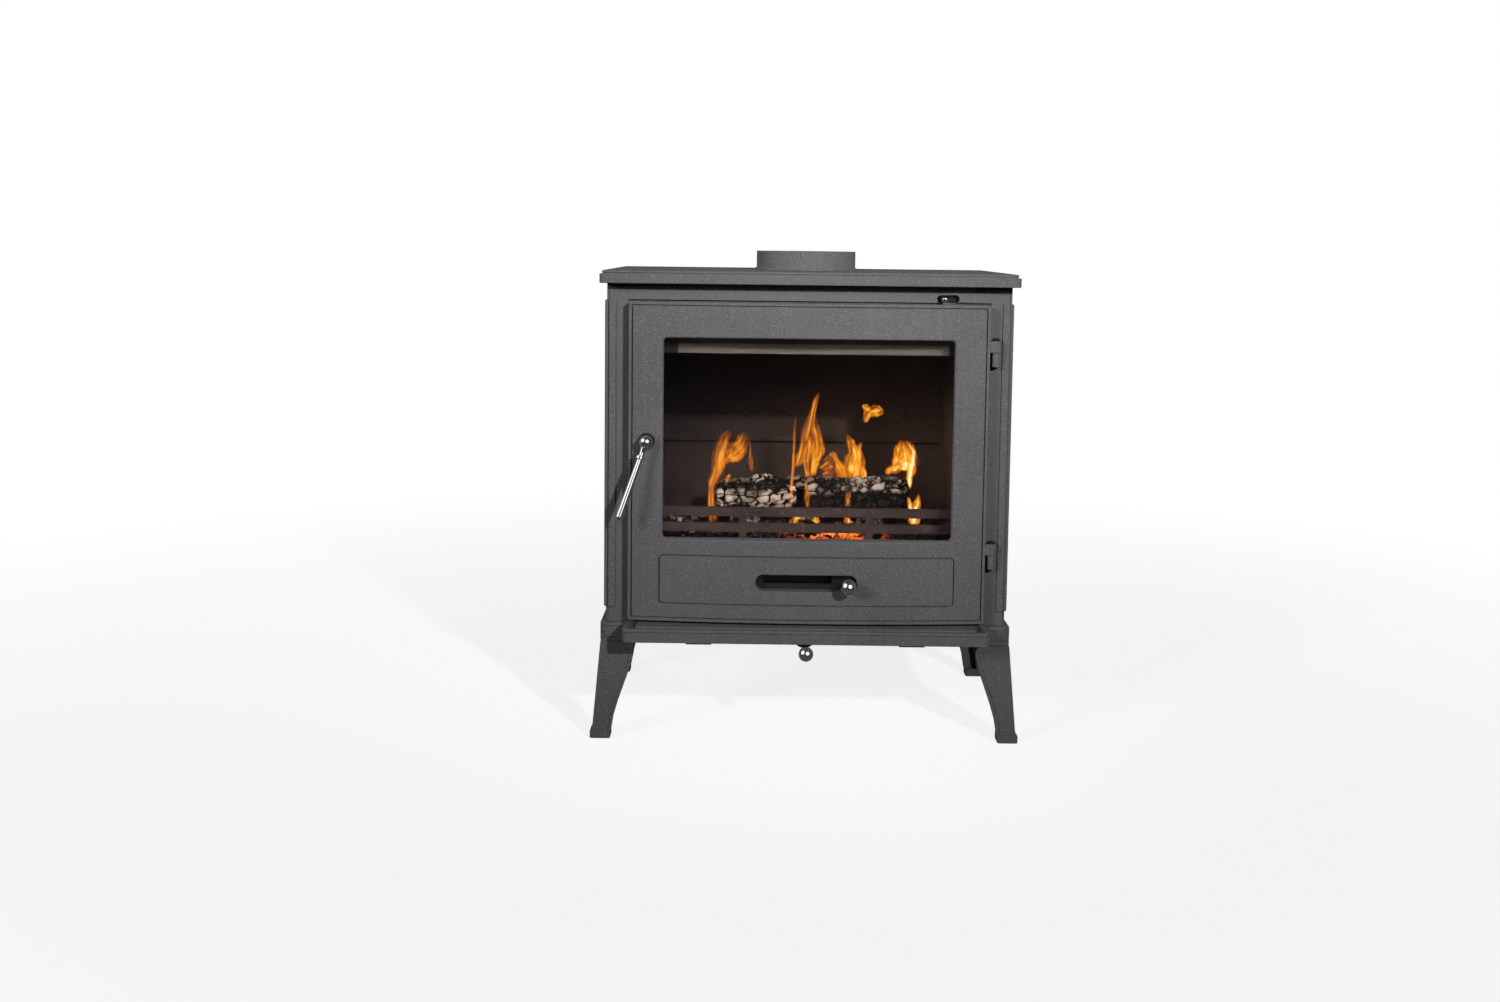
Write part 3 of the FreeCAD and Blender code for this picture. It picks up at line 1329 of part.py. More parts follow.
piece("slide_rails", group(*rails))
rail_screw_length = f"{rail_depth} + rail_lip_thick"
piece("rail_screws", group(*[
    screw("rail_screw_radius", rail_screw_length, (x, f"{rail_back} + rail_lip_thick", z), "-Y")
    for x, z in rail_screws
]))

# Handle: bush in the door, spindle with the latch tongue behind, lever and grip in front.
bush_y = f"({ring_y} - bush_flange_thick)"
bush_end = f"({door_floor} + bush_back)"
piece("handle_bush", cut(
    fuse(
        rod("bush_flange_radius", "bush_flange_thick", (handle_x, bush_y, handle_z), "+Y"),
        rod("bush_radius - hinge_play", f"{bush_end} - {bush_y}", (handle_x, bush_y, handle_z), "+Y"),
    ),
    rod("spindle_radius + spindle_play", f"{bush_end} - {bush_y}", (handle_x, bush_y, handle_z), "+Y"),
))
boss_back = f"({bush_y} - boss_gap)"
boss_front = f"({boss_back} - boss_length)"
tongue_front = f"({frame_back} + keeper_thick + latch_gap)"
tongue_y = (tongue_front, f"({tongue_front} + tongue_thick)")
latch_nut_height = "(spindle_thread * head_height_ratio)"
spindle_start = f"({boss_back} - boss_length / 2)"
piece("handle_spindle", fuse(
    rod("spindle_radius", f"{tongue_y[0]} - {spindle_start}", (handle_x, spindle_start, handle_z), "+Y"),
    rod("spindle_thread", f"tongue_thick + {latch_nut_height}", (handle_x, tongue_y[0], handle_z), "+Y"),
))

lever_across = "(sin(lever_angle) * cos(lever_tilt))"
lever_down = "(cos(lever_angle) * cos(lever_tilt))"
lever_way = FreeCAD.Vector(-value(lever_across), -value("sin(lever_tilt)"), -value(lever_down))


def along_lever(shape, distance):
    """Stand a round shape on the lever's axis, a distance from the boss."""
    shape.Placement.Rotation = FreeCAD.Rotation(FreeCAD.Vector(0, 0, 1), lever_way)
    across = f"{handle_x} - {lever_across} * ({distance})"
    forward = f"{boss_front} - sin(lever_tilt) * ({distance})"
    return tie(shape, x=across, y=forward, z=f"{handle_z} - {lever_down} * ({distance})")


origin = ("0", "0", "0")
ring_at = "neck_length"
grip_at = "(neck_length + ring_length)"
piece("handle_lever", cut(
    fuse(
        rod("boss_radius", "boss_length", (handle_x, boss_back, handle_z), "-Y"),
        ball("boss_radius", (handle_x, boss_front, handle_z)),
        along_lever(cone("neck_wide", "neck_slim", "neck_length", origin), "0"),
        along_lever(rod("ring_radius", "ring_length", origin), ring_at),
        along_lever(rod("grip_bore", "ring_length + grip_length / 2", origin), ring_at),
    ),
    rod("spindle_radius + hinge_play", "boss_length / 2", (handle_x, spindle_start, handle_z), "+Y"),
))
piece("handle_grip", cut(
    fuse(
        along_lever(cone("grip_slim", "grip_wide", "grip_length", origin), grip_at),
        along_lever(ball("grip_wide", origin), f"{grip_at} + grip_length"),
    ),
    along_lever(rod("grip_bore + grip_play", "grip_length / 2 + joint_gap", origin), grip_at),
))


def latch_tongue():
    """A flat bar on the spindle, which turns behind the keeper."""
    eye = rod("tongue_eye", "tongue_thick", (handle_x, tongue_y[0], handle_z), "+Y")
    bar = doc.addObject("Part::Box", "bar")
    turn = value("-tongue_rest_angle")
    bar.Placement.Rotation = FreeCAD.Rotation(FreeCAD.Vector(0, 1, 0), turn)
    tie(bar, Length="tongue_width", Width="tongue_thick", Height="tongue_length")
    half_x = "tongue_width / 2 * cos(tongue_rest_angle)"
    half_z = "tongue_width / 2 * sin(tongue_rest_angle)"
    tie(bar, x=f"{handle_x} - {half_x}", y=tongue_y[0], z=f"{handle_z} - {half_z}")
    bore = rod("spindle_thread + hinge_play", "tongue_thick", (handle_x, tongue_y[0], handle_z), "+Y")
    return cut(fuse(eye, bar), bore)


piece("latch_tongue", latch_tongue())
nut_blank = hexagon("spindle_thread * head_ratio", latch_nut_height, (handle_x, tongue_y[1], handle_z), "+Y")
nut_bore = rod("spindle_thread + hinge_play", latch_nut_height, (handle_x, tongue_y[1], handle_z), "+Y")
piece("latch_nut", cut(nut_blank, nut_bore))

doc.recompute()
broken = [thing.Label for thing in doc.Objects if {"Invalid", "Error"} & set(thing.State)]
broken += [thing.Label for thing in pieces if thing.Shape.isNull() or not thing.Shape.isValid()]
if broken:
    raise RuntimeError(f"failed: {broken}")
os.makedirs("parts", exist_ok=True)
for thing in pieces:
    thing.Shape.exportStep(f"parts/{thing.Label}.step")
    box = thing.Shape.BoundBox
    corners = (box.XMin, box.XMax, box.YMin, box.YMax, box.ZMin, box.ZMax)
    print(thing.Label, len(thing.Shape.Solids), "solids", [round(place, 1) for place in corners])
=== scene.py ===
import json
import math

import bmesh
import bpy
from mathutils import Matrix, Vector, noise

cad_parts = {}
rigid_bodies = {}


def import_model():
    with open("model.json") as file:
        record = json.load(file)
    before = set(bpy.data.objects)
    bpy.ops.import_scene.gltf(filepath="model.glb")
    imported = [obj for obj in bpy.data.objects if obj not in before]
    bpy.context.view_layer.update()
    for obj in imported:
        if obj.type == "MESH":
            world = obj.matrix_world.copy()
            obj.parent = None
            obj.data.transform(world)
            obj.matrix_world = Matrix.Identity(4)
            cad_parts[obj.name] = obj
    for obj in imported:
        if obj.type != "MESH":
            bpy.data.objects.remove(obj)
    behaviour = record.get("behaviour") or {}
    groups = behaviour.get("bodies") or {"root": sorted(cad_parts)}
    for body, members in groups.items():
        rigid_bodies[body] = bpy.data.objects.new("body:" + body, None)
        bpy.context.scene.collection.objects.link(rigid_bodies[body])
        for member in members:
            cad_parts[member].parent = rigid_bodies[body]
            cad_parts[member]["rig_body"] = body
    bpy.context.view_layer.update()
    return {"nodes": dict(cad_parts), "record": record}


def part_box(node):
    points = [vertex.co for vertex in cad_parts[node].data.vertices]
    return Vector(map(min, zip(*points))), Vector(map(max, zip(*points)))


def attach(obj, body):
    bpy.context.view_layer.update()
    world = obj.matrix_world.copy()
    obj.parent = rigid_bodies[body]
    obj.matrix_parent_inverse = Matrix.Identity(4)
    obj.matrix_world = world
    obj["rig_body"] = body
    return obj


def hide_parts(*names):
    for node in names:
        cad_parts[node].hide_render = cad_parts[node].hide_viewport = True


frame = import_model()

# Legs: four iron castings that splay outwards, each a thin angle with a raised rim and a square foot.
# They are sand cast, so the mould leaves each edge a little round, and they are sprayed with the same
# matt charcoal heat paint as the rest of the shell. A bolt holds each one up under the base plate.
slot_of = {part["node"]: part["material_slot"] for part in frame["record"]["subparts"]}


def feed(node, inputs):
    """Give a node's inputs their feeds, each another node's output or a plain value."""
    for name, source in inputs.items():
        if isinstance(source, bpy.types.NodeSocket):
            node.id_data.links.new(source, node.inputs[name])
        else:
            node.inputs[name].default_value = source


def add(tree, kind, inputs=None, **settings):
    """A new node in a tree, with its settings and feeds."""
    node = tree.nodes.new(kind)
    for name, setting in settings.items():
        setattr(node, name, setting)
    feed(node, inputs or {})
    return node


def tree_of(*sources):
    """The tree of the first output among some feeds."""
    return next(source.id_data for source in sources if isinstance(source, bpy.types.NodeSocket))


def sums(operation, *terms, clamp=False):
    """The result of a Math node on one, two or three terms."""
    inputs = dict(enumerate(terms))
    return add(tree_of(*terms), "ShaderNodeMath", inputs, operation=operation, use_clamp=clamp).outputs[0]


def times(product, *terms):
    """The product of two or more terms."""
    for term in terms:
        product = sums("MULTIPLY", product, term)
    return product


def blended(share, first, second):
    """Two colours mixed by a share."""
    inputs = {0: share, 6: first, 7: second}
    return add(tree_of(share, first, second), "ShaderNodeMix", inputs, data_type="RGBA").outputs[2]


def ranged(source, low, high, to_low=0.0, to_high=1.0, shape="LINEAR"):
    """A value brought from one range to another, and kept inside it."""
    inputs = {"Value": source, "From Min": low, "From Max": high, "To Min": to_low, "To Max": to_high}
    return add(source.id_data, "ShaderNodeMapRange", inputs, interpolation_type=shape).outputs["Result"]


def place_in(tree):
    """Where a point lies in its object."""
    return add(tree, "ShaderNodeTexCoord").outputs["Object"]


def cloud(place, scale, detail, **more):
    """Soft noise from 0 to 1."""
    inputs = {"Vector": place, "Scale": scale, "Detail": detail, **more}
    return add(place.id_data, "ShaderNodeTexNoise", inputs).outputs[0]


def finish_named(name):
    """A new material, its tree and its Principled shader."""
    material = bpy.data.materials.new(name)
    material.use_nodes = True
    tree = material.node_tree
    tree.nodes.clear()
    shader = add(tree, "ShaderNodeBsdfPrincipled")
    add(tree, "ShaderNodeOutputMaterial", {"Surface": shader.outputs[0]})
    return material, tree, shader


def raised(shader, height, depth, strength=1.0):
    """Bump on a shader from a height."""
    inputs = {"Height": height, "Distance": depth, "Strength": strength}
    feed(shader, {"Normal": add(shader.id_data, "ShaderNodeBump", inputs).outputs[0]})


# Sand grain: what a sand mould and a sprayed coat leave on iron. Tone is the slow drift of shade over a
# casting, fleck the fine pale specks in the paint, and grain the height of the rough skin.
sand_grain = bpy.data.node_groups.new("sand_grain", "ShaderNodeTree")
for label, value in (("Grain Scale", 420.0), ("Fleck Scale", 560.0), ("Fleck Share", 0.5)):
    socket = sand_grain.interface.new_socket(label, in_out="INPUT", socket_type="NodeSocketFloat")
    socket.default_value = value
for label in ("Tone", "Fleck", "Grain"):
    sand_grain.interface.new_socket(label, in_out="OUTPUT", socket_type="NodeSocketFloat")
grain_in = add(sand_grain, "NodeGroupInput").outputs
grain_place = place_in(sand_grain)
cell_inputs = {"Vector": grain_place, "Scale": grain_in["Fleck Scale"]}
cells = add(sand_grain, "ShaderNodeTexVoronoi", cell_inputs).outputs
cell_lot = add(sand_grain, "ShaderNodeSeparateColor", {"Color": cells["Color"]}).outputs
speck_reach = ranged(cell_lot[0], sums("SUBTRACT", 1.0, grain_in["Fleck Share"]), 1.0, 0.0, 0.55)
speck = ranged(sums("SUBTRACT", speck_reach, cells["Distance"]), 0.0, 0.12)
add(sand_grain, "NodeGroupOutput", {
    "Tone": ranged(cloud(grain_place, 9.0, 5.0), 0.3, 0.7),
    "Fleck": times(speck, cell_lot[1]),
    "Grain": cloud(grain_place, grain_in["Grain Scale"], 4.0, Roughness=0.62),
})


def skinned(name, grain_scale, fleck_scale, fleck_share, dark, light):
    """A new finish with sand grain: material, shader, the grain's outputs, and a shade from dark to light."""
    material, tree, shader = finish_named(name)
    skin = add(tree, "ShaderNodeGroup", node_tree=sand_grain)
    feed(skin, {"Grain Scale": grain_scale, "Fleck Scale": fleck_scale, "Fleck Share": fleck_share})
    return material, shader, skin.outputs, blended(skin.outputs["Tone"], (*dark, 1), (*light, 1))


heat_paint, paint, paint_skin, charcoal = skinned(
    "heat_paint", 560.0, 900.0, 0.6, (0.091, 0.0885, 0.0925), (0.116, 0.1125, 0.117)
)
worn_charcoal = blended(0.55, charcoal, (0.215, 0.207, 0.212, 1))
paint_shade = blended(ranged(paint_skin["Grain"], 0.35, 0.68), charcoal, worn_charcoal)
feed(paint, {
    "Base Color": blended(times(paint_skin["Fleck"], 0.65), paint_shade, (0.46, 0.45, 0.46, 1)),
    "Roughness": ranged(paint_skin["Tone"], 0.0, 1.0, 0.52, 0.62),
    "Specular IOR Level": 0.15,
})
raised(paint, paint_skin["Grain"], 0.0005, 0.55)

weld, sharp_bend, flat_bend = 1e-5, math.radians(28), math.radians(0.05)


def placed(name, data):
    """A new object in the scene with some data."""
    made = bpy.data.objects.new(name, data)
    bpy.context.scene.collection.objects.link(made)
    return made


def made_of(shape, name, material=None):
    """A new object from a shape, which is then let go."""
    mesh = bpy.data.meshes.new(name)
    shape.to_mesh(mesh)
    shape.free()
    if material:
        mesh.materials.append(material)
    return placed(name, mesh)


def stand_for(piece, node):
    """Put a piece in a CAD node's place and on its body."""
    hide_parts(node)
    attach(piece, frame["nodes"][node]["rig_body"])


def solid_shape(node):
    """A CAD node's shape with its facets joined up."""
    shape = bmesh.new()
    shape.from_mesh(frame["nodes"][node].data)
    bmesh.ops.remove_doubles(shape, verts=shape.verts, dist=weld)
    return shape


def casting(node, rounding, material, carve=None):
    """A CAD node with its sharp edges rounded; rounding is a width, or says an edge's width."""
    shape = solid_shape(node)
    if carve:
        shape = carve(shape)
    bmesh.ops.dissolve_limit(shape, angle_limit=flat_bend, verts=shape.verts, edges=shape.edges)
    share = shape.edges.layers.float.new("bevel_weight_edge")
    sharp = [edge for edge in shape.edges if edge.calc_face_angle() > sharp_bend]
    widths = [rounding(edge) if callable(rounding) else rounding for edge in sharp]
    widest = max(widths)
    for edge, width in zip(sharp, widths):
        edge[share] = width / widest
        edge.smooth = True
    for face in shape.faces:
        face.smooth = True
    piece = made_of(shape, node + "_cast", material)
    mould = piece.modifiers.new("mould_radius", "BEVEL")
    mould.limit_method = "WEIGHT"
    mould.width = widest
    mould.segments = 3
    mould.use_clamp_overlap = False
    piece.modifiers.new("even_normals", "WEIGHTED_NORMAL").keep_sharp = True
    stand_for(piece, node)


for corner in ("front_left", "front_right", "rear_left", "rear_right"):
    casting("leg_" + corner, 0.0012, heat_paint)

# Base plate: a flat casting with a beaded edge that carries the shell, the ash lip and the legs.
# It is cast in one piece with the two runners of the ash pan, and painted.
crisp, base_groove = 0.0002, (0.1595, 0.1615)


def lies_between(edge, low, high):
    """Whether both ends of an edge lie between two heights."""
    return all(low < vert.co.z < high for vert in edge.verts)


casting("base_plate", lambda edge: crisp if lies_between(edge, *base_groove) else 0.0012, heat_paint)

# Ash lip: a cast shelf in front of the door that catches ash, with a bead, a fine groove under it and a
# channel inside. Two lugs under the base plate hold it with a bolt each.
casting("ash_lip", 0.0003, heat_paint)

# Front frame: the flat cast plate round the door opening, with a raised strip up each side, two hinge
# barrels and a slot for the airwash knob. It is clamped between base and top by the tie rods.
# A narrow gap is sunk in its face above the door.
gap_low, gap_high = Vector((-0.2533, -0.1500, 0.6195)), Vector((0.2533, -0.1415, 0.6233))
gap_margin, fine_weld = 0.0005, 1e-6


def sink_gap(shape):
    """Cut the gap out of the frame's face."""
    bar = bmesh.new()
    bmesh.ops.create_cube(bar, size=1.0)
    for vert in bar.verts:
        vert.co = (gap_low + gap_high) / 2 + vert.co * (gap_high - gap_low)
    blank, cutter = made_of(shape, "frame_blank"), made_of(bar, "gap_cutter")
    cutting = blank.modifiers.new("gap", "BOOLEAN")
    cutting.object = cutter
    cutting.solver = "EXACT"
    result = blank.evaluated_get(bpy.context.evaluated_depsgraph_get())
    carved = bmesh.new()
    carved.from_mesh(result.to_mesh())
    for spare in (blank, cutter):
        bpy.data.objects.remove(spare)
    bmesh.ops.remove_doubles(carved, verts=carved.verts, dist=fine_weld)
    return carved


def frame_rounding(edge):
    """Crisp at the gap, softer elsewhere."""
    at_height = lies_between(edge, gap_low.z - gap_margin, gap_high.z + gap_margin)
    in_face = all(vert.co.y < gap_high.y + gap_margin for vert in edge.verts)
    return crisp if at_height and in_face else 0.0007


casting("front_frame", frame_rounding, heat_paint, sink_gap)

# Sides and back: three iron castings with a raised field, painted as the rest of the shell. Lips on the
# sides lap over the front and back, and the tie rods clamp all of them between base and top.
for panel in ("left_side", "right_side", "rear_panel"):
    casting(panel, 0.0010, heat_paint)

# Firebox irons: the cast shelf with the grate and the riddling plate in it, and the log guard, in bare
# iron that the fire has blackened.
bare_iron, iron, iron_skin, iron_shade = skinned(
    "bare_iron", 300.0, 240.0, 0.35, (0.027, 0.0180, 0.0178), (0.054, 0.0360, 0.0355)
)
feed(iron, {
    "Base Color": blended(times(iron_skin["Fleck"], 0.5), iron_shade, (0.17, 0.155, 0.14, 1)),
    "Roughness": ranged(iron_skin["Grain"], 0.3, 0.7, 0.55, 0.8),
    "Specular IOR Level": 0.2,
})
raised(iron, iron_skin["Grain"], 0.0006, 0.7)
for iron_part in ("grate_shelf", "fire_grate", "riddle_plate", "log_guard"):
    casting(iron_part, 0.0008, bare_iron)

# Bricks: boards of pressed vermiculite that line the firebox, and the throat plate above. They are buff
# when new, flaky and speckled, and their colour darkens from the top down, and more on the left.
# The upper rear board stands a little above the lower one, so that a dark seam shows between them.
firebrick, brick_tree, brick = finish_named("firebrick")


def parts_of(vector):
    """The outputs X, Y and Z of a vector."""
    return add(vector.id_data, "ShaderNodeSeparateXYZ", {"Vector": vector}).outputs


brick_place = place_in(brick_tree)
brick_spot = parts_of(brick_place)
flakes = add(brick_tree, "ShaderNodeTexVoronoi", {"Vector": brick_place, "Scale": 640.0}).outputs
flake_shade = add(brick_tree, "ShaderNodeSeparateColor", {"Color": flakes["Color"]}).outputs[0]
buff = blended(flake_shade, (0.078, 0.052, 0.042, 1), (0.106, 0.071, 0.056, 1))
# The boards' colour darkens towards the top and towards the left, to near black.
darkening_drift = ranged(cloud(brick_place, 11.0, 6.0), 0.25, 0.75, -0.10, 0.10)
top_left_darkening = ranged(sums("ADD", brick_spot["Z"], darkening_drift), 0.30, 0.60, 0.15, 0.60)
top_left_darkening = sums("ADD", top_left_darkening, ranged(brick_spot["X"], -0.20, 0.20, 0.48, -0.15), clamp=True)
feed(brick, {
    "Base Color": blended(top_left_darkening, buff, (0.012, 0.0112, 0.0128, 1)),
    "Roughness": 0.95,
    "Specular IOR Level": 0.1,
})
raised(brick, flakes["Distance"], 0.0004, 0.25)
seam_level, seam_margin, seam_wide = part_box("brick_rear_upper")[0].z, 0.0005, 0.0028


def open_seam(shape):
    """Lift the underside of the upper rear board."""
    for vert in shape.verts:
        if vert.co.z < seam_level + seam_margin:
            vert.co.z += seam_wide
    return shape


for board in ("brick_left", "brick_right", "brick_rear_lower", "brick_rear_upper", "throat_plate"):
    casting(board, 0.0003, firebrick, open_seam if board == "brick_rear_upper" else None)

# Top plate: a thick cast plate that overhangs all round, with a band, a fine groove and a bead round its
# edge and a round hole for the flue collar. The groove is widened a little above and below.
groove_floor, groove_roof, groove_margin = 0.6592, 0.6604, 0.0001
floor_drop, roof_lift = 0.0004, 0.0005
top_groove, bead_level = (0.6585, 0.6610), 0.6635


def top_rounding(edge):
    """Crisp at the groove, soft on the band and softest on the bead."""
    if lies_between(edge, *top_groove):
        return crisp
    return 0.0026 if min(vert.co.z for vert in edge.verts) > bead_level else 0.0014


def open_top_groove(shape):
    """Widen the fine groove under the bead."""
    for vert in shape.verts:
        if abs(vert.co.z - groove_roof) < groove_margin:
            vert.co.z += roof_lift
        elif abs(vert.co.z - groove_floor) < groove_margin:
            vert.co.z -= floor_drop
    return shape


casting("top_plate", top_rounding, heat_paint, open_top_groove)

# Flue collar: a cast and painted ring that passes up through the top plate and takes the flue pipe.
# Bolts from below hold it to the plate.
casting("flue_collar", 0.0008, heat_paint)

# Steel parts: the ash pan, the slides and rails of the air controls, the riddling rod with its arm and
# guides, the hinge pins, the glass clips, the latch keeper and the handle's bush. They are folded, cut or
# turned from mild steel and blackened against rust.
dark_steel, steel, steel_skin, steel_shade = skinned(
    "dark_steel", 700.0, 900.0, 0.2, (0.020, 0.020, 0.021), (0.045, 0.045, 0.046)
)
feed(steel, {
    "Base Color": steel_shade,
    "Roughness": ranged(steel_skin["Grain"], 0.3, 0.7, 0.38, 0.55),
    "Metallic": 0.6,
})
raised(steel, steel_skin["Grain"], 0.0001, 0.4)
for steel_part, slot in slot_of.items():
    if slot == "dark_steel" and steel_part != "airwash_duct":
        casting(steel_part, 0.0003, dark_steel)

# Airwash duct: folded steel behind the frame, black with soot. The lower edge of its lip, behind the top of
# the glass, is painted pale grey-brown. This is partly an ash film and partly a painted pool of lamp light:
# its left, right and top edges are painted shadow edges.
# Where the painted lit patch on the lip stops, and how soft its painted shadow edges are.
lit_patch_left, lit_patch_right, lit_patch_top, lit_patch_side_fade, lit_patch_top_fade = -0.184, 0.198, 0.5612, 0.001, 0.002
ash_lit_steel, ashen, ashen_skin, soot = skinned(
    "ash_lit_steel", 260.0, 300.0, 0.3, (0.010, 0.009, 0.009), (0.020, 0.017, 0.016)
)
ashen_spot = parts_of(place_in(ashen.id_data))
# Painted light: the pale patch covers only the part of the lip that the lamps light, and its edges are
# painted shadow.
ash_and_lit_mask = times(
    ranged(ashen_spot["X"], lit_patch_left, lit_patch_left + lit_patch_side_fade),
    ranged(ashen_spot["X"], lit_patch_right - lit_patch_side_fade, lit_patch_right, 1.0, 0.0),
    ranged(ashen_spot["Z"], lit_patch_top, lit_patch_top + lit_patch_top_fade, 1.0, 0.0),
)
ash_and_light_colour = blended(ashen_skin["Tone"], (0.100, 0.084, 0.077, 1), (0.152, 0.128, 0.117, 1))
feed(ashen, {
    "Base Color": blended(ash_and_lit_mask, soot, ash_and_light_colour),
    "Roughness": ranged(ashen_skin["Grain"], 0.3, 0.7, 0.60, 0.80),
})
raised(ashen, ashen_skin["Grain"], 0.0002, 0.5)
casting("airwash_duct", 0.0003, ash_lit_steel)

# Fasteners and shafts: bolts, screws, nuts, tie rods, and the handle's shaft with its latch, all in zinc
# plated steel. The rods and the latch keep crisp edges, and the rest are grown where the CAD has them.
zinc_plate, zinc, zinc_skin, zinc_shade = skinned(
    "zinc_plate", 900.0, 300.0, 0.3, (0.36, 0.36, 0.355), (0.52, 0.52, 0.51)
)
feed(zinc, {
    "Base Color": zinc_shade,
    "Roughness": ranged(zinc_skin["Grain"], 0.3, 0.7, 0.28, 0.45),
    "Metallic": 1.0,
})
for shaft in ("tie_rods", "handle_spindle", "latch_tongue", "latch_nut"):
    casting(shaft, crisp, zinc_plate)


def growing_tree(name, inputs):
    """An empty Geometry Nodes tree with named inputs and one output, and its input sockets."""
    tree = bpy.data.node_groups.new(name, "GeometryNodeTree")
    for label, kind in inputs.items():
        tree.interface.new_socket(label, in_out="INPUT", socket_type="NodeSocket" + kind)
    tree.interface.new_socket("Pieces", in_out="OUTPUT", socket_type="NodeSocketGeometry")
    return tree, add(tree, "NodeGroupInput").outputs


def lifted(geometry, height):
    """Geometry in a tree moved up by a height."""
    offset = add(geometry.id_data, "ShaderNodeCombineXYZ", {"Z": height}).outputs[0]
    inputs = {"Geometry": geometry, "Translation": offset}
    return add(geometry.id_data, "GeometryNodeTransform", inputs).outputs[0]


def tree_end(geometry, finish):
    """End a tree with its geometry as one plain mesh in its finish."""
    tree = geometry.id_data
    whole = add(tree, "GeometryNodeRealizeInstances", {0: geometry}).outputs[0]
    whole = add(tree, "GeometryNodeSetMaterial", {"Geometry": whole, "Material": finish}).outputs[0]
    add(tree, "NodeGroupOutput", {0: whole})


def grown(name, start, tree, values):
    """The plain object that a Geometry Nodes tree grows from a starting mesh."""
    seedling = placed(name + "_start", start)
    growth = seedling.modifiers.new(tree.name, "NODES")
    growth.node_group = tree
    for socket in tree.interface.items_tree:
        if socket.name in values:
            growth[socket.identifier] = values[socket.name]
    result = seedling.evaluated_get(bpy.context.evaluated_depsgraph_get())
    mesh = bpy.data.meshes.new_from_object(result)
    bpy.data.objects.remove(seedling)
    return placed(name, mesh)


# A fastener: a head with a chamfered end, slotted in a screw, and a plain shank that starts inside it.
# The head grows downwards from the seat and the shank upwards, then both turn to the attribute shank_way.
# Sizes are shares of the shank's radius or of the head.
head_wide, head_high, crown_high, crown_wide = 1.85, 1.30, 0.24, 0.84
slot_long, slot_place, shank_hidden, shank_sides = 3.0, -1.05, 0.3, 20
bolt_tree, bolt_in = growing_tree("fastener_set", {
    "Places": "Geometry", "Shank Radius": "Float", "Shank Length": "Float", "Head Sides": "Int",
    "Slot Width": "Float", "Finish": "Material",
})
shank_radius, shank_length = bolt_in["Shank Radius"], bolt_in["Shank Length"]
head_radius, head_height = times(shank_radius, head_wide), times(shank_radius, head_high)
flat_height = times(head_height, 1 - crown_high)
flat_part = add(bolt_tree, "GeometryNodeMeshCylinder", {
    "Vertices": bolt_in["Head Sides"], "Radius": head_radius, "Depth": flat_height,
}).outputs
crown = add(bolt_tree, "GeometryNodeExtrudeMesh", {
    "Mesh": flat_part["Mesh"], "Selection": flat_part["Bottom"],
    "Offset Scale": times(head_height, crown_high),
}).outputs
head = add(bolt_tree, "GeometryNodeScaleElements", {
    "Geometry": crown["Mesh"], "Selection": crown["Top"], "Scale": crown_wide,
})
seated = lifted(head.outputs[0], times(flat_height, -0.5))
slot_size = add(bolt_tree, "ShaderNodeCombineXYZ", {
    "X": times(head_radius, slot_long), "Y": bolt_in["Slot Width"], "Z": head_height,
})
slot_bar = add(bolt_tree, "GeometryNodeMeshCube", {"Size": slot_size.outputs[0]})
slotted = add(bolt_tree, "GeometryNodeMeshBoolean", {
    "Mesh 1": seated, "Mesh 2": lifted(slot_bar.outputs[0], times(head_height, slot_place)),
}, operation="DIFFERENCE")
whole_head = add(bolt_tree, "GeometryNodeSwitch", {
    "Switch": sums("GREATER_THAN", bolt_in["Slot Width"], 0.0), "False": seated, "True": slotted.outputs[0],
}, input_type="GEOMETRY")
hidden_part = times(shank_radius, shank_hidden)
shank = add(bolt_tree, "GeometryNodeMeshCylinder", {
    "Vertices": shank_sides, "Radius": shank_radius, "Depth": sums("ADD", shank_length, hidden_part),
})
shank_lift = times(sums("SUBTRACT", shank_length, hidden_part), 0.5)
fastener = add(bolt_tree, "GeometryNodeJoinGeometry")
for half in (whole_head.outputs[0], lifted(shank.outputs[0], shank_lift)):
    bolt_tree.links.new(half, fastener.inputs[0])
way_attribute = {"Name": "shank_way"}
shank_way = add(bolt_tree, "GeometryNodeInputNamedAttribute", way_attribute, data_type="FLOAT_VECTOR")
shank_turn = add(bolt_tree, "FunctionNodeAlignRotationToVector", {"Vector": shank_way.outputs[0]}, axis="Z")
fasteners = add(bolt_tree, "GeometryNodeInstanceOnPoints", {
    "Points": bolt_in["Places"], "Instance": fastener.outputs[0], "Rotation": shank_turn.outputs[0],
})
tree_end(fasteners.outputs[0], bolt_in["Finish"])


def solids_of(node):
    """The lowest and highest corners of each separate solid in a CAD node."""
    shape = solid_shape(node)
    left, boxes = set(shape.verts), []
    while left:
        solid, waiting = set(), [left.pop()]
        while waiting:
            vert = waiting.pop()
            solid.add(vert)
            others = [edge.other_vert(vert) for edge in vert.link_edges]
            waiting += [other for other in others if other not in solid]
        left -= solid
        boxes.append([
            Vector([pick(vert.co[axis] for vert in solid) for axis in range(3)]) for pick in (min, max)
        ])
    shape.free()
    return sorted(boxes, key=lambda box: tuple(box[0]))


least_shank = 0.0002


def fastened(node, radius, way, sides=6, slot_wide=0.0):
    """The bolts, nuts or screws of a CAD node, each turned along its way from the seat under its head."""
    seats, ways = [], []
    for low, high in solids_of(node):
        along = Vector(way(low))
        reach = abs(((high - low) / 2).dot(along))
        seats.append((low + high) / 2 + along * (radius * head_high - reach))
        ways.append(along)
    places = bpy.data.meshes.new(node + "_places")
    places.from_pydata(seats, [], [])
    turns = places.attributes.new("shank_way", "FLOAT_VECTOR", "POINT")
    for number, along in enumerate(ways):
        turns.data[number].vector = along
    stand_for(grown(node + "_made", places, bolt_tree, {
        "Shank Radius": radius, "Shank Length": max(2 * reach - radius * head_high, least_shank),
        "Head Sides": sides, "Slot Width": slot_wide, "Finish": zinc_plate,
    }), node)


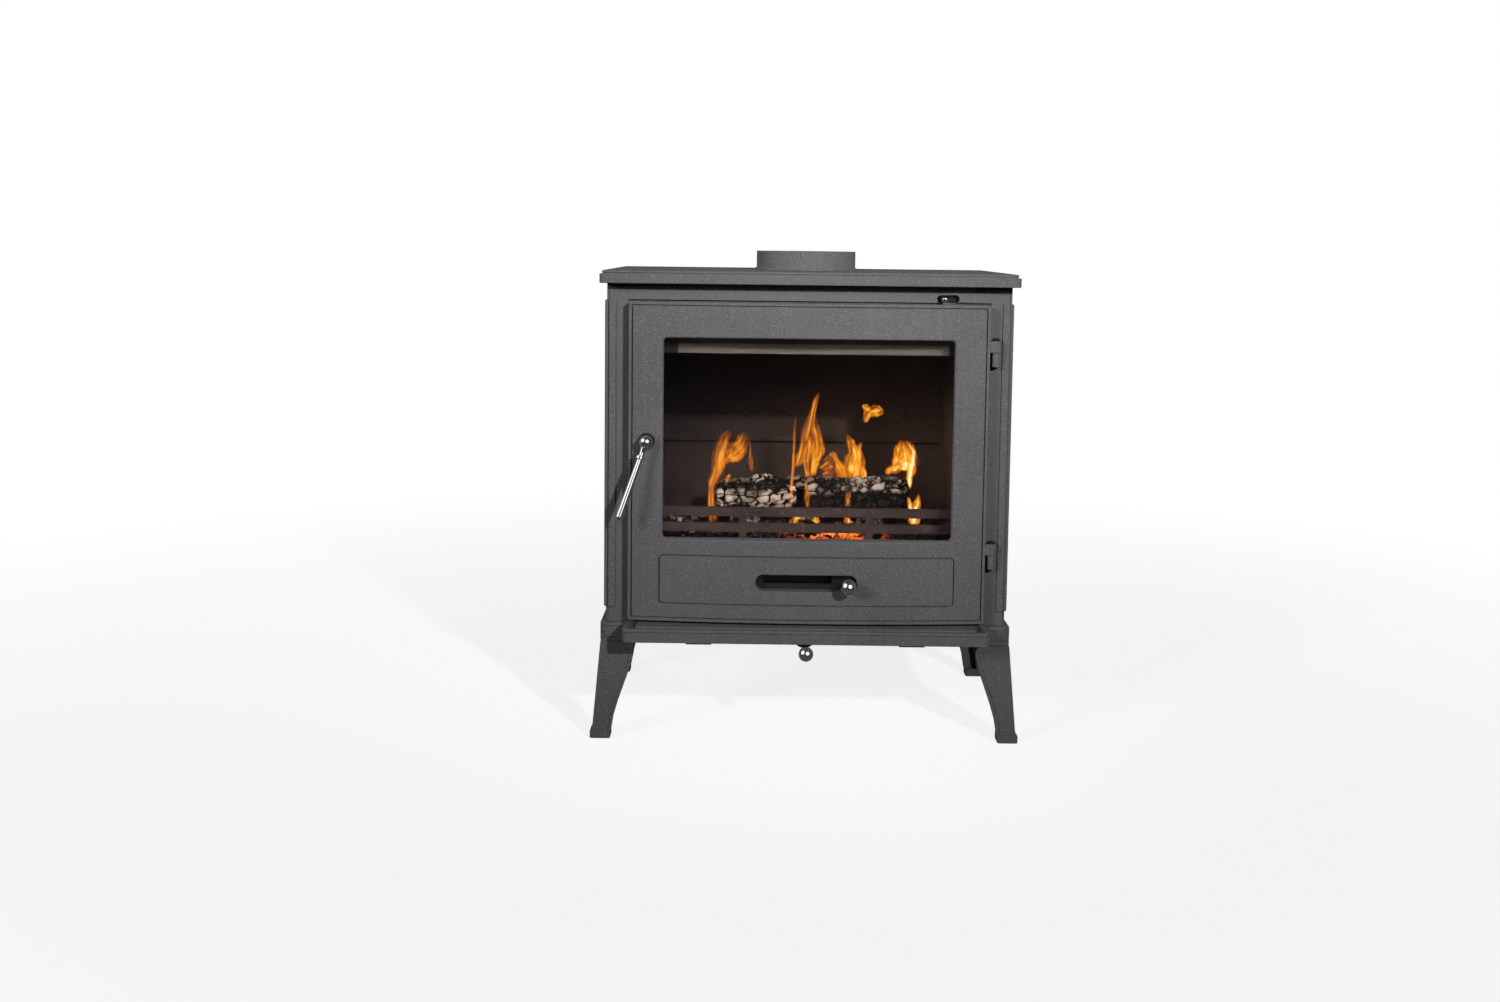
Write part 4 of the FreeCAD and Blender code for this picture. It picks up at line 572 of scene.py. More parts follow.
shell_middle, screw_sides, slot_share = 0.4, 28, 0.4
bolts = {"leg_bolts": 0.005, "lip_bolts": 0.004, "collar_bolts": 0.004, "riddle_guide_bolts": 0.002}
for node, radius in bolts.items():
    fastened(node, radius, lambda low: (0, 0, 1))
fastened("tie_rod_nuts", 0.004, lambda low: (0, 0, 1 if low.z > shell_middle else -1))
screws = {"duct_screws": 0.0025, "keeper_screws": 0.0025, "clip_screws": 0.0025, "rail_screws": 0.0015}
for node, radius in screws.items():
    fastened(node, radius, lambda low: (0, -1, 0), screw_sides, radius * slot_share)

# Door: a bowed casting with a line round its border, a sunk line round its lower panel, the window and
# the air slot. Two lugs on its right edge turn on the hinge pins. The lines are sunk a little further.
bow_radius, bow_axis = 2.25704, 2.07854
line_depth, line_more, line_margin = 0.0015, 0.0013, 0.00006
border_x, border_z, face_back = 0.2475, (0.1760, 0.6175), -0.158


def deepen_lines(shape):
    """Sink the floors of the lines in the door's face."""
    for vert in shape.verts:
        from_axis = Vector((vert.co.x, vert.co.y - bow_axis))
        on_floor = abs(from_axis.length - (bow_radius - line_depth)) < line_margin
        if on_floor and abs(vert.co.x) < border_x:
            shift = from_axis.normalized() * -line_more
            vert.co.x += shift.x
            vert.co.y += shift.y
    return shape


def door_rounding(edge):
    """Crisp at the lines in the face, softer elsewhere."""
    in_face = all(abs(vert.co.x) < border_x and vert.co.y < face_back for vert in edge.verts)
    return crisp if in_face and lies_between(edge, *border_z) else 0.0008


casting("door_casting", door_rounding, heat_paint, deepen_lines)

# Seals: black knitted rope in the door's back and a flat woven tape round the glass. The rope is three
# strands that wind about a line in the door's channel.
seal_rope, rope_finish_tree, rope = finish_named("seal_rope")
knit = add(rope_finish_tree, "ShaderNodeTexWave", {
    "Vector": place_in(rope_finish_tree), "Scale": 160.0, "Distortion": 3.0, "Detail": 2.0,
}).outputs["Fac"]
feed(rope, {
    "Base Color": blended(knit, (0.012, 0.012, 0.012, 1), (0.055, 0.053, 0.050, 1)),
    "Roughness": 0.95,
})
raised(rope, knit, 0.0008)
casting("glass_gasket", 0.0006, seal_rope)
strand_count, strand_sides, rope_steps = 3, 8, 1500
rope_tree, rope_in = growing_tree("rope_laid", {
    "Path": "Geometry", "Strand Radius": "Float", "Strand Offset": "Float", "Turns Per Metre": "Float",
    "Finish": "Material",
})
rope_line = add(rope_tree, "GeometryNodeMeshToCurve", {"Mesh": rope_in["Path"]})
rope_line = add(rope_tree, "GeometryNodeResampleCurve", {"Curve": rope_line.outputs[0], "Count": rope_steps})
rope_along = add(rope_tree, "GeometryNodeSplineParameter").outputs["Length"]
rope_ahead = add(rope_tree, "GeometryNodeInputTangent").outputs[0]
side_inputs = {0: rope_ahead, 1: (0, 1, 0)}
rope_side = add(rope_tree, "ShaderNodeVectorMath", side_inputs, operation="CROSS_PRODUCT").outputs[0]
strand_round = add(rope_tree, "GeometryNodeCurvePrimitiveCircle", {
    "Resolution": strand_sides, "Radius": rope_in["Strand Radius"],
})
strands = add(rope_tree, "GeometryNodeJoinGeometry")
for strand in range(strand_count):
    turned_by = sums("MULTIPLY_ADD", rope_along, rope_in["Turns Per Metre"], strand / strand_count)
    angle = times(turned_by, math.tau)
    sideways = times(sums("COSINE", angle), rope_in["Strand Offset"])
    outwards = times(sums("SINE", angle), rope_in["Strand Offset"])
    step_side = add(rope_tree, "ShaderNodeVectorMath", {0: rope_side, "Scale": sideways}, operation="SCALE")
    step_out = add(rope_tree, "ShaderNodeCombineXYZ", {"Y": outwards})
    step = add(rope_tree, "ShaderNodeVectorMath", {0: step_side.outputs[0], 1: step_out.outputs[0]})
    wound = add(rope_tree, "GeometryNodeSetPosition", {
        "Geometry": rope_line.outputs[0], "Offset": step.outputs[0],
    })
    tube = add(rope_tree, "GeometryNodeCurveToMesh", {
        "Curve": wound.outputs[0], "Profile Curve": strand_round.outputs[0],
    })
    rope_tree.links.new(tube.outputs[0], strands.inputs[0])
tree_end(strands.outputs[0], rope_in["Finish"])
rope_half, rope_bend, bend_steps = 0.0030, 0.0030, 4
rope_low, rope_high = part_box("door_rope")
rope_middle = (rope_low + rope_high) / 2
rope_corners = [
    (rope_low.x, rope_low.z), (rope_high.x, rope_low.z),
    (rope_high.x, rope_high.z), (rope_low.x, rope_high.z),
]
rope_path = []
for quarter, (x, z) in enumerate(rope_corners):
    inward = Vector((math.copysign(1, rope_middle.x - x), 0, math.copysign(1, rope_middle.z - z)))
    bend_centre = Vector((x, rope_middle.y, z)) + inward * (rope_half + rope_bend)
    for bend_step in range(bend_steps + 1):
        turn = math.radians(180 + 90 * (quarter + bend_step / bend_steps))
        rope_path.append(bend_centre + Vector((math.cos(turn), 0, math.sin(turn))) * rope_bend)
path_mesh = bpy.data.meshes.new("door_rope_path")
path_count = len(rope_path)
path_mesh.from_pydata(rope_path, [(first, (first + 1) % path_count) for first in range(path_count)], [])
stand_for(grown("door_rope_laid", path_mesh, rope_tree, {
    "Strand Radius": 0.0014, "Strand Offset": 0.0016, "Turns Per Metre": 75.0, "Finish": seal_rope,
}), "door_rope")

# Glass: one flat pane of clear ceramic glass behind the window, held by clips. A faint brown film of
# smoke drifts over it. The lamps' light passes straight through.
fire_glass, glass_tree, glass = finish_named("fire_glass")
film = ranged(cloud(place_in(glass_tree), 7.0, 5.0), 0.35, 0.75)
feed(glass, {
    "Base Color": blended(film, (0.90, 0.89, 0.88, 1), (0.82, 0.80, 0.77, 1)),
    "Transmission Weight": 1.0,
    "Roughness": 0.01,
    "IOR": 1.3,
})
lamp_light = add(glass_tree, "ShaderNodeLightPath").outputs["Is Shadow Ray"]
clear = add(glass_tree, "ShaderNodeBsdfTransparent", {"Color": (0.85, 0.84, 0.83, 1)})
pane = add(glass_tree, "ShaderNodeMixShader", {0: lamp_light, 1: glass.outputs[0], 2: clear.outputs[0]})
feed(glass_tree.get_output_node("ALL"), {"Surface": pane.outputs[0]})
casting("door_glass", 0.0004, fire_glass)

# Handle and knobs: turned steel, polished and chrome plated. The lever sits on the handle's shaft in front
# of the door, and each knob on the stem of its slide or rod. Their profiles are in mm.
chrome, plating, chrome_skin, chrome_shade = skinned(
    "chrome", 150.0, 400.0, 0.1, (0.78, 0.78, 0.79), (0.86, 0.86, 0.87)
)
feed(plating, {
    "Base Color": chrome_shade,
    "Roughness": ranged(chrome_skin["Grain"], 0.3, 0.7, 0.04, 0.07),
    "Metallic": 1.0,
})
turn_steps, dome_steps, turned_edge, on_axis = 96, 40, math.radians(30), 1e-6


def lathe(shape, start, way, profile):
    """Turn a profile of distances and radii, in mm, about an axis into a closed skin."""
    side = way.orthogonal().normalized()
    other = way.cross(side)
    rings = []
    for distance, radius in profile:
        centre = Vector(start) + way * distance
        spokes = [math.tau * step / turn_steps for step in range(turn_steps if radius else 1)]
        ring = [centre + (side * math.cos(turn) + other * math.sin(turn)) * radius for turn in spokes]
        rings.append([shape.verts.new(point / 1000) for point in ring])
    for ring, following in zip(rings, rings[1:]):
        for step in range(turn_steps):
            after = (step + 1) % turn_steps
            corners = [ring[step % len(ring)], ring[after % len(ring)]]
            corners += [following[after % len(following)], following[step % len(following)]]
            shape.faces.new(list(dict.fromkeys(corners))).smooth = True


def dome(centre, radius, first=0, last=180):
    """A profile round a ball, between two angles from the axis's start."""
    angles = [math.radians(first + (last - first) * step / dome_steps) for step in range(dome_steps + 1)]
    points = [(centre - radius * math.cos(angle), radius * math.sin(angle)) for angle in angles]
    return [(distance, 0 if across < on_axis else across) for distance, across in points]


def turned(node, *skins):
    """A turned and plated part made of coaxial or crossing skins, each a start, a direction and a profile."""
    shape = bmesh.new()
    for start, way, profile in skins:
        lathe(shape, start, way, profile)
    bmesh.ops.recalc_face_normals(shape, faces=shape.faces)
    for edge in shape.edges:
        edge.smooth = edge.calc_face_angle() < turned_edge
    stand_for(made_of(shape, node + "_turned", chrome), node)


outward = Vector((0, -1, 0))
lever_turn, lever_tilt = math.radians(18.8), math.radians(9.0)
lever_way = Vector((
    -math.sin(lever_turn) * math.cos(lever_tilt), -math.sin(lever_tilt),
    -math.cos(lever_turn) * math.cos(lever_tilt),
))
boss_radius, boss_length = 9.5, 12.0
neck, ring_end, grip_end, grip_wide = 20.0, 25.0, 109.0, 5.3
boss_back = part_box("handle_lever")[1].y * 1000
handle_middle = Vector((-225.0, boss_back, 426.9))
boss_centre = handle_middle + outward * boss_length
turned(
    "handle_lever",
    (handle_middle, outward, [(0, 0), (0, 8.9), (0.6, boss_radius)] + dome(boss_length, boss_radius, 90)),
    (boss_centre, lever_way, [
        (0, 0), (0, 6.0), (6, 5.1), (13, 4.1), (18.6, 3.5), (19.6, 3.8), (neck, 4.6),
        (neck, 5.9), (20.6, 6.5), (24.4, 6.5), (ring_end, 5.9), (ring_end, 0),
    ]),
)
grip_profile = [(ring_end, 0), (ring_end, 3.4), (25.6, 3.9)] + dome(grip_end, grip_wide, 90)
turned("handle_grip", (boss_centre, lever_way, grip_profile))


def knob(node, stem, ball, first, across=None):
    """A knob on a stem; stem gives its profile for the knob's reach, and first where the ball leaves it."""
    low, high = (corner * 1000 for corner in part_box(node))
    reach = high.y - low.y
    middle = (low + high) / 2
    start = Vector((middle.x if across is None else across, high.y, middle.z))
    turned(node, (start, outward, stem(reach) + dome(reach - ball, ball, first)))


knob("air_knob", lambda reach: [
    (0, 0), (0, 4.0), (reach - 28, 4.0), (reach - 27, 5.4), (reach - 26.4, 6.0), (reach - 20.6, 6.0),
    (reach - 20.2, 5.8),
], 11.0, 33, 58.0)
knob("riddle_knob", lambda reach: [(0, 0), (0, 5.2), (0.6, 5.8), (reach - 19.2, 5.8)], 10.2, 35, 0.0)
knob("airwash_knob", lambda reach: [(0, 0), (0, 3.0), (reach - 9.4, 3.0)], 5.0, 37)

# Logs: split hardwood that has burnt black and checked into plates, with pale ash on the faces. Three lie
# front to back on the grate, and the rest lie across them.
charred_wood, wood_tree, wood = finish_named("charred_wood")
wood_place = place_in(wood_tree)
crust_share = add(wood_tree, "ShaderNodeAttribute", attribute_name="crust").outputs["Fac"]
ash_on = add(wood_tree, "ShaderNodeAttribute", attribute_name="ash").outputs["Fac"]
ash_cloud, ash_grit = cloud(wood_place, 60.0, 5.0), cloud(wood_place, 520.0, 4.0)
ash_patch = ranged(sums("ADD", ash_cloud, times(ash_grit, 0.3)), 0.50, 0.66)
speckled = times(ranged(ash_grit, 0.52, 0.70), crust_share)
char = blended(speckled, (0.007, 0.006, 0.005, 1), (0.11, 0.095, 0.085, 1))
ash_white = blended(ash_grit, (0.42, 0.31, 0.25, 1), (0.80, 0.65, 0.54, 1))
feed(wood, {
    "Base Color": blended(times(crust_share, ash_on, ash_patch), char, ash_white),
    "Roughness": 0.95,
    "Specular IOR Level": 0.1,
})
raised(wood, ash_grit, 0.0008, 0.8)


def ramp(value, low, high):
    """How far a value has come from low to high, from 0 to 1."""
    return min(1.0, max(0.0, (value - low) / (high - low)))


# Each log has its two ends, its girth, how pale and how patchy its ash is, and how far down and up it goes.
logs = [
    ((-0.095, -0.075, 0.2845), (-0.085, 0.110, 0.2865), 0.0190, 0.6, 0.9, (-0.5, 1.5)),
    ((0.000, -0.072, 0.2835), (0.012, 0.100, 0.2855), 0.0185, 0.5, 0.9, (-0.5, 1.5)),
    ((0.096, -0.080, 0.2850), (0.106, 0.105, 0.2865), 0.0195, 0.4, 0.9, (-0.5, 1.5)),
    ((-0.132, -0.012, 0.3245), (-0.012, 0.004, 0.3280), 0.0195, 1.0, 0.75, (-1.3, 0.80)),
    ((0.004, 0.002, 0.3300), (0.156, -0.008, 0.3290), 0.0240, 0.7, 1.0, (0.25, 1.5)),
    ((-0.128, 0.066, 0.3250), (0.070, 0.060, 0.3275), 0.0205, 0.4, 0.9, (-0.2, 1.5)),
    ((-0.080, 0.020, 0.3440), (-0.040, 0.028, 0.3475), 0.0080, 1.0, 0.0, (-1.5, 1.5)),
    ((-0.206, 0.062, 0.2755), (-0.140, 0.086, 0.2755), 0.0100, 0.8, 0.3, (-1.5, 1.5)),
    ((-0.186, -0.030, 0.2745), (-0.120, -0.046, 0.2745), 0.0090, 1.0, 0.3, (-1.5, 1.5)),
]
around_count, along_count, cap_rings = 120, 150, 6
end_round, end_length, log_bow, end_crust = 0.68, 0.7, 0.003, 0.35
plates_along, plates_around, crack_deep, crack_girth = 58, 88, 0.0042, 0.018
swell_scale, swell_deep, end_ragged, patch_scale = 70, 0.0022, 0.004, 26
lobe_two, lobe_three, check_near, check_far = 0.09, 0.06, 0.09, 0.20
patch_low, ash_soft, ash_end_soft = -0.30, 0.15, 0.1
for number, (start, end, girth, pale_share, patchy, (ash_low, ash_high)) in enumerate(logs):
    start, end = Vector(start), Vector(end)
    length = (end - start).length
    way = (end - start).normalized()
    side = way.cross(Vector((0, 0, 1))).normalized()
    rise = side.cross(way)
    seed = Vector((number * 3.7, number * 1.3, 0))
    shape = bmesh.new()
    crust = shape.verts.layers.float.new("crust")
    ash = shape.verts.layers.float.new("ash")
    rings = []
    stations = [(0.0, (ring + 0.5) / cap_rings) for ring in range(cap_rings)]
    stations += [(step / along_count, 1.0) for step in range(along_count + 1)]
    stations += [(1.0, 1 - (ring + 0.5) / cap_rings) for ring in range(cap_rings)]
    for share, fill in stations:
        ring = []
        from_end = ramp(min(share, 1 - share) * length, 0, end_length * girth)
        wide = end_round + (1 - end_round) * math.sqrt(1 - (1 - from_end) ** 2)
        axis = start.lerp(end, share) + rise * log_bow * math.sin(share * math.pi * 1.5 + number)
        for step in range(around_count):
            turn = math.tau * step / around_count
            out = side * math.cos(turn) + rise * math.sin(turn)
            lobes = 1 + lobe_two * math.cos(2 * turn + number)
            lobes += lobe_three * math.cos(3 * turn + 2.1 * number)
            place = axis + out * girth * lobes * fill * wide
            around = out * girth * plates_around
            checks = Vector((share * length * plates_along, around.x + around.y, around.z)) + seed
            near, far = noise.voronoi(checks, distance_metric="CHEBYCHEV")[0][:2]
            solid = ramp(far - near, check_near, check_far)
            swell = noise.fractal(place * swell_scale + seed, 1.0, 2.0, 3)
            depth = (solid - 1) * crack_deep * ramp(girth, 0.0, crack_girth) + swell * swell_deep
            ragged = way * swell * end_ragged * (1 if share in (0, 1) else 0)
            vert = shape.verts.new(place + out * depth * fill + ragged)
            vert[crust] = solid * (1.0 if fill == 1 else end_crust)
            patch = 1 - patchy * (1 - ramp(noise.noise(place * patch_scale + seed), patch_low, 0.0))
            above = ramp(out.z, ash_low - ash_soft, ash_low + ash_soft)
            below = 1 - ramp(out.z, ash_high - ash_end_soft, ash_high + ash_end_soft)
            vert[ash] = pale_share * patch * (above * below)
            ring.append(vert)
        rings.append(ring)
    for ring, following in zip(rings, rings[1:]):
        for step in range(around_count):
            after = (step + 1) % around_count
            shape.faces.new((ring[step], ring[after], following[after], following[step])).smooth = True
    shape.faces.new(list(reversed(rings[0])))
    shape.faces.new(rings[-1])
    bmesh.ops.recalc_face_normals(shape, faces=shape.faces)
    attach(made_of(shape, f"fire_log_{number}", charred_wood), "stove")

# Ember bed: broken charcoal on the grate, grey with ash where it has cooled and glowing where it burns,
# in front of the middle.
ember, ember_tree, coal = finish_named("ember")
ember_place = place_in(ember_tree)
ember_grit, ember_cloud = cloud(ember_place, 160.0, 5.0), cloud(ember_place, 36.0, 3.0)
black, hot_orange = (0, 0, 0, 1), (1.0, 0.17, 0.015, 1)
hot_middle = {0: ember_place, 1: (0.045, -0.050, 0.272)}
from_hot = add(ember_tree, "ShaderNodeVectorMath", hot_middle, operation="DISTANCE").outputs["Value"]
heat = times(ranged(from_hot, 0.030, 0.085, 1.0, 0.0), ranged(ember_cloud, 0.40, 0.60))
coal_ash = ranged(ember_grit, 0.52, 0.72)
feed(coal, {
    "Base Color": blended(coal_ash, (0.012, 0.011, 0.010, 1), (0.13, 0.105, 0.09, 1)),
    "Emission Color": blended(ranged(ember_grit, 0.35, 0.60), black, blended(heat, black, hot_orange)),
    "Emission Strength": 3.0,
    "Roughness": 0.9,
})
raised(coal, ember_grit, 0.001)
bed_tree, bed_in = growing_tree("ember_scatter", {
    "Bed": "Geometry", "Coal Size": "Float", "Coals Per Area": "Float", "Seed": "Int", "Finish": "Material",
})
spread = add(bed_tree, "GeometryNodeDistributePointsOnFaces", {
    "Mesh": bed_in["Bed"], "Density": bed_in["Coals Per Area"], "Seed": bed_in["Seed"],
})
lump = add(bed_tree, "GeometryNodeMeshIcoSphere", {"Radius": 0.5, "Subdivisions": 2})
turn_range = {0: (0, 0, 0), 1: (math.tau,) * 3, "Seed": bed_in["Seed"]}
coal_turn = add(bed_tree, "FunctionNodeRandomValue", turn_range, data_type="FLOAT_VECTOR")
stretch_range = {0: (0.45,) * 3, 1: (1.25,) * 3, "Seed": 7}
stretch = add(bed_tree, "FunctionNodeRandomValue", stretch_range, data_type="FLOAT_VECTOR")
coal_size = {0: stretch.outputs[0], "Scale": bed_in["Coal Size"]}
coals = add(bed_tree, "GeometryNodeInstanceOnPoints", {
    "Points": spread.outputs["Points"], "Instance": lump.outputs["Mesh"], "Rotation": coal_turn.outputs[0],
    "Scale": add(bed_tree, "ShaderNodeVectorMath", coal_size, operation="SCALE").outputs[0],
})
broken = add(bed_tree, "GeometryNodeRealizeInstances", {0: coals.outputs[0]})
crag = add(bed_tree, "ShaderNodeTexNoise", {"Scale": 130.0, "Detail": 2.0})
crag_way = {0: crag.outputs["Color"], 1: (0.5, 0.5, 0.5)}
crag_way = add(bed_tree, "ShaderNodeVectorMath", crag_way, operation="SUBTRACT").outputs[0]
crag_move = add(bed_tree, "ShaderNodeVectorMath", {0: crag_way, "Scale": 0.016}, operation="SCALE")
cragged = add(bed_tree, "GeometryNodeSetPosition", {
    "Geometry": broken.outputs[0], "Offset": crag_move.outputs[0],
})
tree_end(cragged.outputs[0], bed_in["Finish"])
bed_side, bed_front, bed_back, bed_level = 0.20, -0.090, 0.140, 0.271
bed_mesh = bpy.data.meshes.new("ember_bed_start")
bed_corners = [(-bed_side, bed_front), (bed_side, bed_front), (bed_side, bed_back), (-bed_side, bed_back)]
bed_mesh.from_pydata([(x, y, bed_level) for x, y in bed_corners], [], [(0, 1, 2, 3)])
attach(grown("ember_bed", bed_mesh, bed_tree, {
    "Coal Size": 0.019, "Coals Per Area": 5200.0, "Seed": 11, "Finish": ember,
}), "stove")

# Flames: thin tongues of burning gas that rise from the logs, yellow where they are hot and clear at the
# edge. Each flame is a few strokes of gas, and a stroke is a lens drawn along a line of places, given in mm
# as across, up and half its width. A flame also has its distance from front to back and its heat.
flame, flame_tree, gas = finish_named("flame")
flame_coordinates = add(flame_tree, "ShaderNodeTexCoord").outputs
flame_place, spot = flame_coordinates["Object"], parts_of(flame_coordinates["UV"])
heat_share = add(flame_tree, "ShaderNodeAttribute", attribute_name="gas_heat").outputs["Fac"]
drawn_out = add(flame_tree, "ShaderNodeMapping", {"Vector": flame_place, "Scale": (1.0, 1.0, 0.28)})
wisp = cloud(drawn_out.outputs[0], 105.0, 4.0, Distortion=1.1)
along_flow = add(flame_tree, "ShaderNodeCombineXYZ", {
    "X": times(spot["X"], 4.2), "Y": times(spot["Y"], 2.0), "Z": times(parts_of(flame_place)["X"], 34.0),
})
thread = cloud(along_flow.outputs[0], 1.0, 2.0, Distortion=0.7)
streak = ranged(thread, 0.38, 0.62, shape="SMOOTHSTEP")
from_middle = sums("ABSOLUTE", sums("MULTIPLY_ADD", spot["X"], 2.0, -1.0))
wander = sums("MULTIPLY_ADD", wisp, 1.8, -0.90)
ragged_edge = sums("ADD", sums("SUBTRACT", 1.0, from_middle), wander)
edge_fade = ranged(ragged_edge, 0.05, 0.80, shape="SMOOTHSTEP")
end_fade = times(ranged(spot["Y"], 0.0, 0.16), ranged(spot["Y"], 0.60, 1.0, 1.0, 0.0))
end_fade = ranged(sums("ADD", end_fade, times(wander, 0.4)), 0.0, 0.6)
gas_share = times(edge_fade, end_fade)
veil = sums("MULTIPLY_ADD", heat_share, 0.28, 0.05)
bright = times(streak, sums("MULTIPLY_ADD", heat_share, 0.45, 0.24))
warmth = sums("MULTIPLY_ADD", heat_share, 0.50, 0.10)
glow = times(gas_share, sums("MULTIPLY_ADD", streak, 0.42, warmth))
orange = blended(ranged(glow, 0.0, 0.5), (0.62, 0.085, 0.006, 1), (1.0, 0.31, 0.016, 1))
yellow = blended(ranged(glow, 0.56, 0.86), orange, (1.0, 0.58, 0.07, 1))
feed(gas, {
    "Base Color": black,
    "Specular IOR Level": 0.0,
    "Alpha": sums("MULTIPLY", gas_share, sums("ADD", veil, bright), clamp=True),
    "Emission Color": blended(ranged(glow, 0.82, 1.0), yellow, (1.0, 0.86, 0.46, 1)),
    "Emission Strength": 1.3,
})
flames = {
    "left": (-15, 0.34, [
        [(-135, 287, 6), (-137, 305, 6), (-139, 324, 5), (-137, 344, 6), (-130, 364, 8), (-127, 382, 9),
         (-123, 399, 10), (-118, 414, 8), (-112, 426, 3)],
        [(-129, 365, 4), (-118, 381, 8), (-106, 392, 13), (-97, 403, 11), (-92, 414, 8), (-90, 423, 3)],
        [(-115, 388, 3), (-106, 383, 5), (-98, 385, 5), (-90, 394, 4), (-88, 407, 2)],
        [(-116, 347, 2), (-114, 354, 3), (-111, 359, 2)],
    ]),
    "left_thin": (20, 0.06, [
        [(-79, 359, 2), (-81, 380, 3), (-81, 395, 2), (-83, 409, 1)],
    ]),
    "front_thin": (-45, 0.14, [
        [(-19, 317, 2), (-19, 341, 3), (-18, 371, 3), (-17, 401, 3), (-16, 427, 2), (-15, 451, 1)],
    ]),
    "middle": (15, 0.4, [
        [(-14, 366, 3), (-8, 374, 5), (-3, 389, 7), (1, 407, 8), (5, 424, 8), (9, 441, 6), (13, 458, 4),
         (18, 473, 3), (21, 482, 1)],
        [(13, 352, 5), (14, 367, 7), (17, 384, 9), (20, 399, 9), (18, 414, 8), (15, 430, 6), (12, 445, 4)],
        [(6, 351, 4), (4, 367, 5), (5, 384, 5), (8, 401, 6), (11, 418, 5)],
        [(19, 374, 3), (25, 388, 5), (27, 401, 3), (24, 414, 2)],
    ]),
    "link": (22, 0.1, [
        [(25, 364, 5), (35, 372, 8), (44, 382, 8), (48, 391, 3)],
        [(29, 353, 5), (40, 361, 8), (50, 368, 6)],
    ]),
    "middle_right": (18, 0.66, [
        [(71, 349, 15), (70, 361, 17), (73, 375, 14), (76, 388, 10), (72, 401, 7), (68, 412, 4),
         (66, 420, 2)],
        [(80, 352, 11), (82, 371, 9), (82, 386, 7), (83, 398, 4), (86, 407, 2)],
        [(60, 349, 8), (55, 363, 7), (51, 374, 5), (46, 384, 3), (42, 391, 2)],
        [(90, 350, 5), (91, 360, 4), (87, 369, 2)],
    ]),
    "loose": (10, 0.55, [
        [(91, 436, 2), (93, 444, 5), (97, 452, 8), (106, 454, 9), (114, 454, 6), (119, 453, 2)],
        [(86, 462, 2), (93, 459, 5), (100, 456, 5)],
    ]),
    "right": (0, 0.92, [
        [(121, 362, 3), (130, 366, 6), (139, 372, 9), (144, 384, 11), (145, 395, 11), (145, 405, 8),
         (146, 413, 4)],
        [(156, 336, 3), (158, 352, 5), (161, 367, 7), (162, 382, 8), (159, 395, 9), (154, 405, 7),
         (149, 412, 3)],
        [(148, 365, 8), (151, 378, 10), (152, 390, 9), (151, 401, 5)],
    ]),
    "right_low": (-45, 0.95, [
        [(162, 292, 8), (163, 304, 8), (163, 316, 7), (166, 327, 5), (167, 339, 2)],
        [(157, 312, 4), (155, 323, 3), (153, 334, 2)],
    ]),
    "low": (-60, 0.7, [
        [(-9, 292, 14), (-10, 300, 11), (-12, 308, 5)],
        [(16, 293, 5), (16, 300, 5), (15, 308, 2)],
        [(66, 293, 6), (64, 301, 5), (63, 310, 3)],
    ]),
    "over_logs": (-40, 0.25, [
        [(4, 315, 3), (4, 330, 4), (2, 344, 3), (2, 358, 2)],
        [(64, 316, 3), (64, 328, 4), (65, 340, 3)],
    ]),
}
stroke_rows, stroke_columns, stroke_wider, stroke_bulge = 36, 10, 1.35, 0.4
stroke_apart, sway_reach, sway_turn, degenerate = 3, 4, 4, 1e-7


def smooth_line(places, count):
    """Places evenly spread on a smooth line through the given ones."""
    line = []
    for step in range(count + 1):
        along = step / count * (len(places) - 1)
        index = min(int(along), len(places) - 2)
        t = along - index
        picks = [places[min(max(index + offset, 0), len(places) - 1)] for offset in (-1, 0, 1, 2)]
        line.append([
            0.5 * (
                2 * b + (c - a) * t + (2 * a - 5 * b + 4 * c - d) * t ** 2
                + (3 * b - a - 3 * c + d) * t ** 3
            )
            for a, b, c, d in zip(*picks)
        ])
    return line


for name, (distance, flame_heat, strokes) in flames.items():
    shape = bmesh.new()
    across_map = shape.loops.layers.uv.new("flame_map")
    heat_layer = shape.verts.layers.float.new("gas_heat")
    for order, stroke in enumerate(strokes):
        line = smooth_line(stroke, stroke_rows)
        for face_way in (-1, 1):
            sheet = []
            for row, (x, z, half) in enumerate(line):
                before, after = line[max(row - 1, 0)], line[min(row + 1, stroke_rows)]
                along = Vector((after[0] - before[0], 0, after[1] - before[1])).normalized()
                square = Vector((along.z, 0, -along.x))
                half *= stroke_wider if 0 < row < stroke_rows else 0
                sway = sway_reach * math.sin(row / stroke_rows * sway_turn + order)
                middle = Vector((x, distance + stroke_apart * order + sway, z))
                rank = []
                for column in range(stroke_columns + 1):
                    share = column / stroke_columns
                    bulge = Vector((0, face_way * math.sin(share * math.pi) * half * stroke_bulge, 0))
                    vert = shape.verts.new((middle + square * half * (2 * share - 1) + bulge) / 1000)
                    vert[heat_layer] = flame_heat
                    rank.append(vert)
                sheet.append(rank)
            for row in range(stroke_rows):
                for column in range(stroke_columns):
                    corners = [(row, column), (row, column + 1), (row + 1, column + 1), (row + 1, column)]
                    face = shape.faces.new([sheet[r][c] for r, c in corners])
                    face.smooth = True
                    for loop, (r, c) in zip(face.loops, corners):
                        loop[across_map].uv = (c / stroke_columns, r / stroke_rows)
    bmesh.ops.remove_doubles(shape, verts=shape.verts, dist=fine_weld)
    bmesh.ops.dissolve_degenerate(shape, edges=shape.edges, dist=degenerate)
    bmesh.ops.recalc_face_normals(shape, faces=shape.faces)
    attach(made_of(shape, "flame_" + name, flame), "stove")

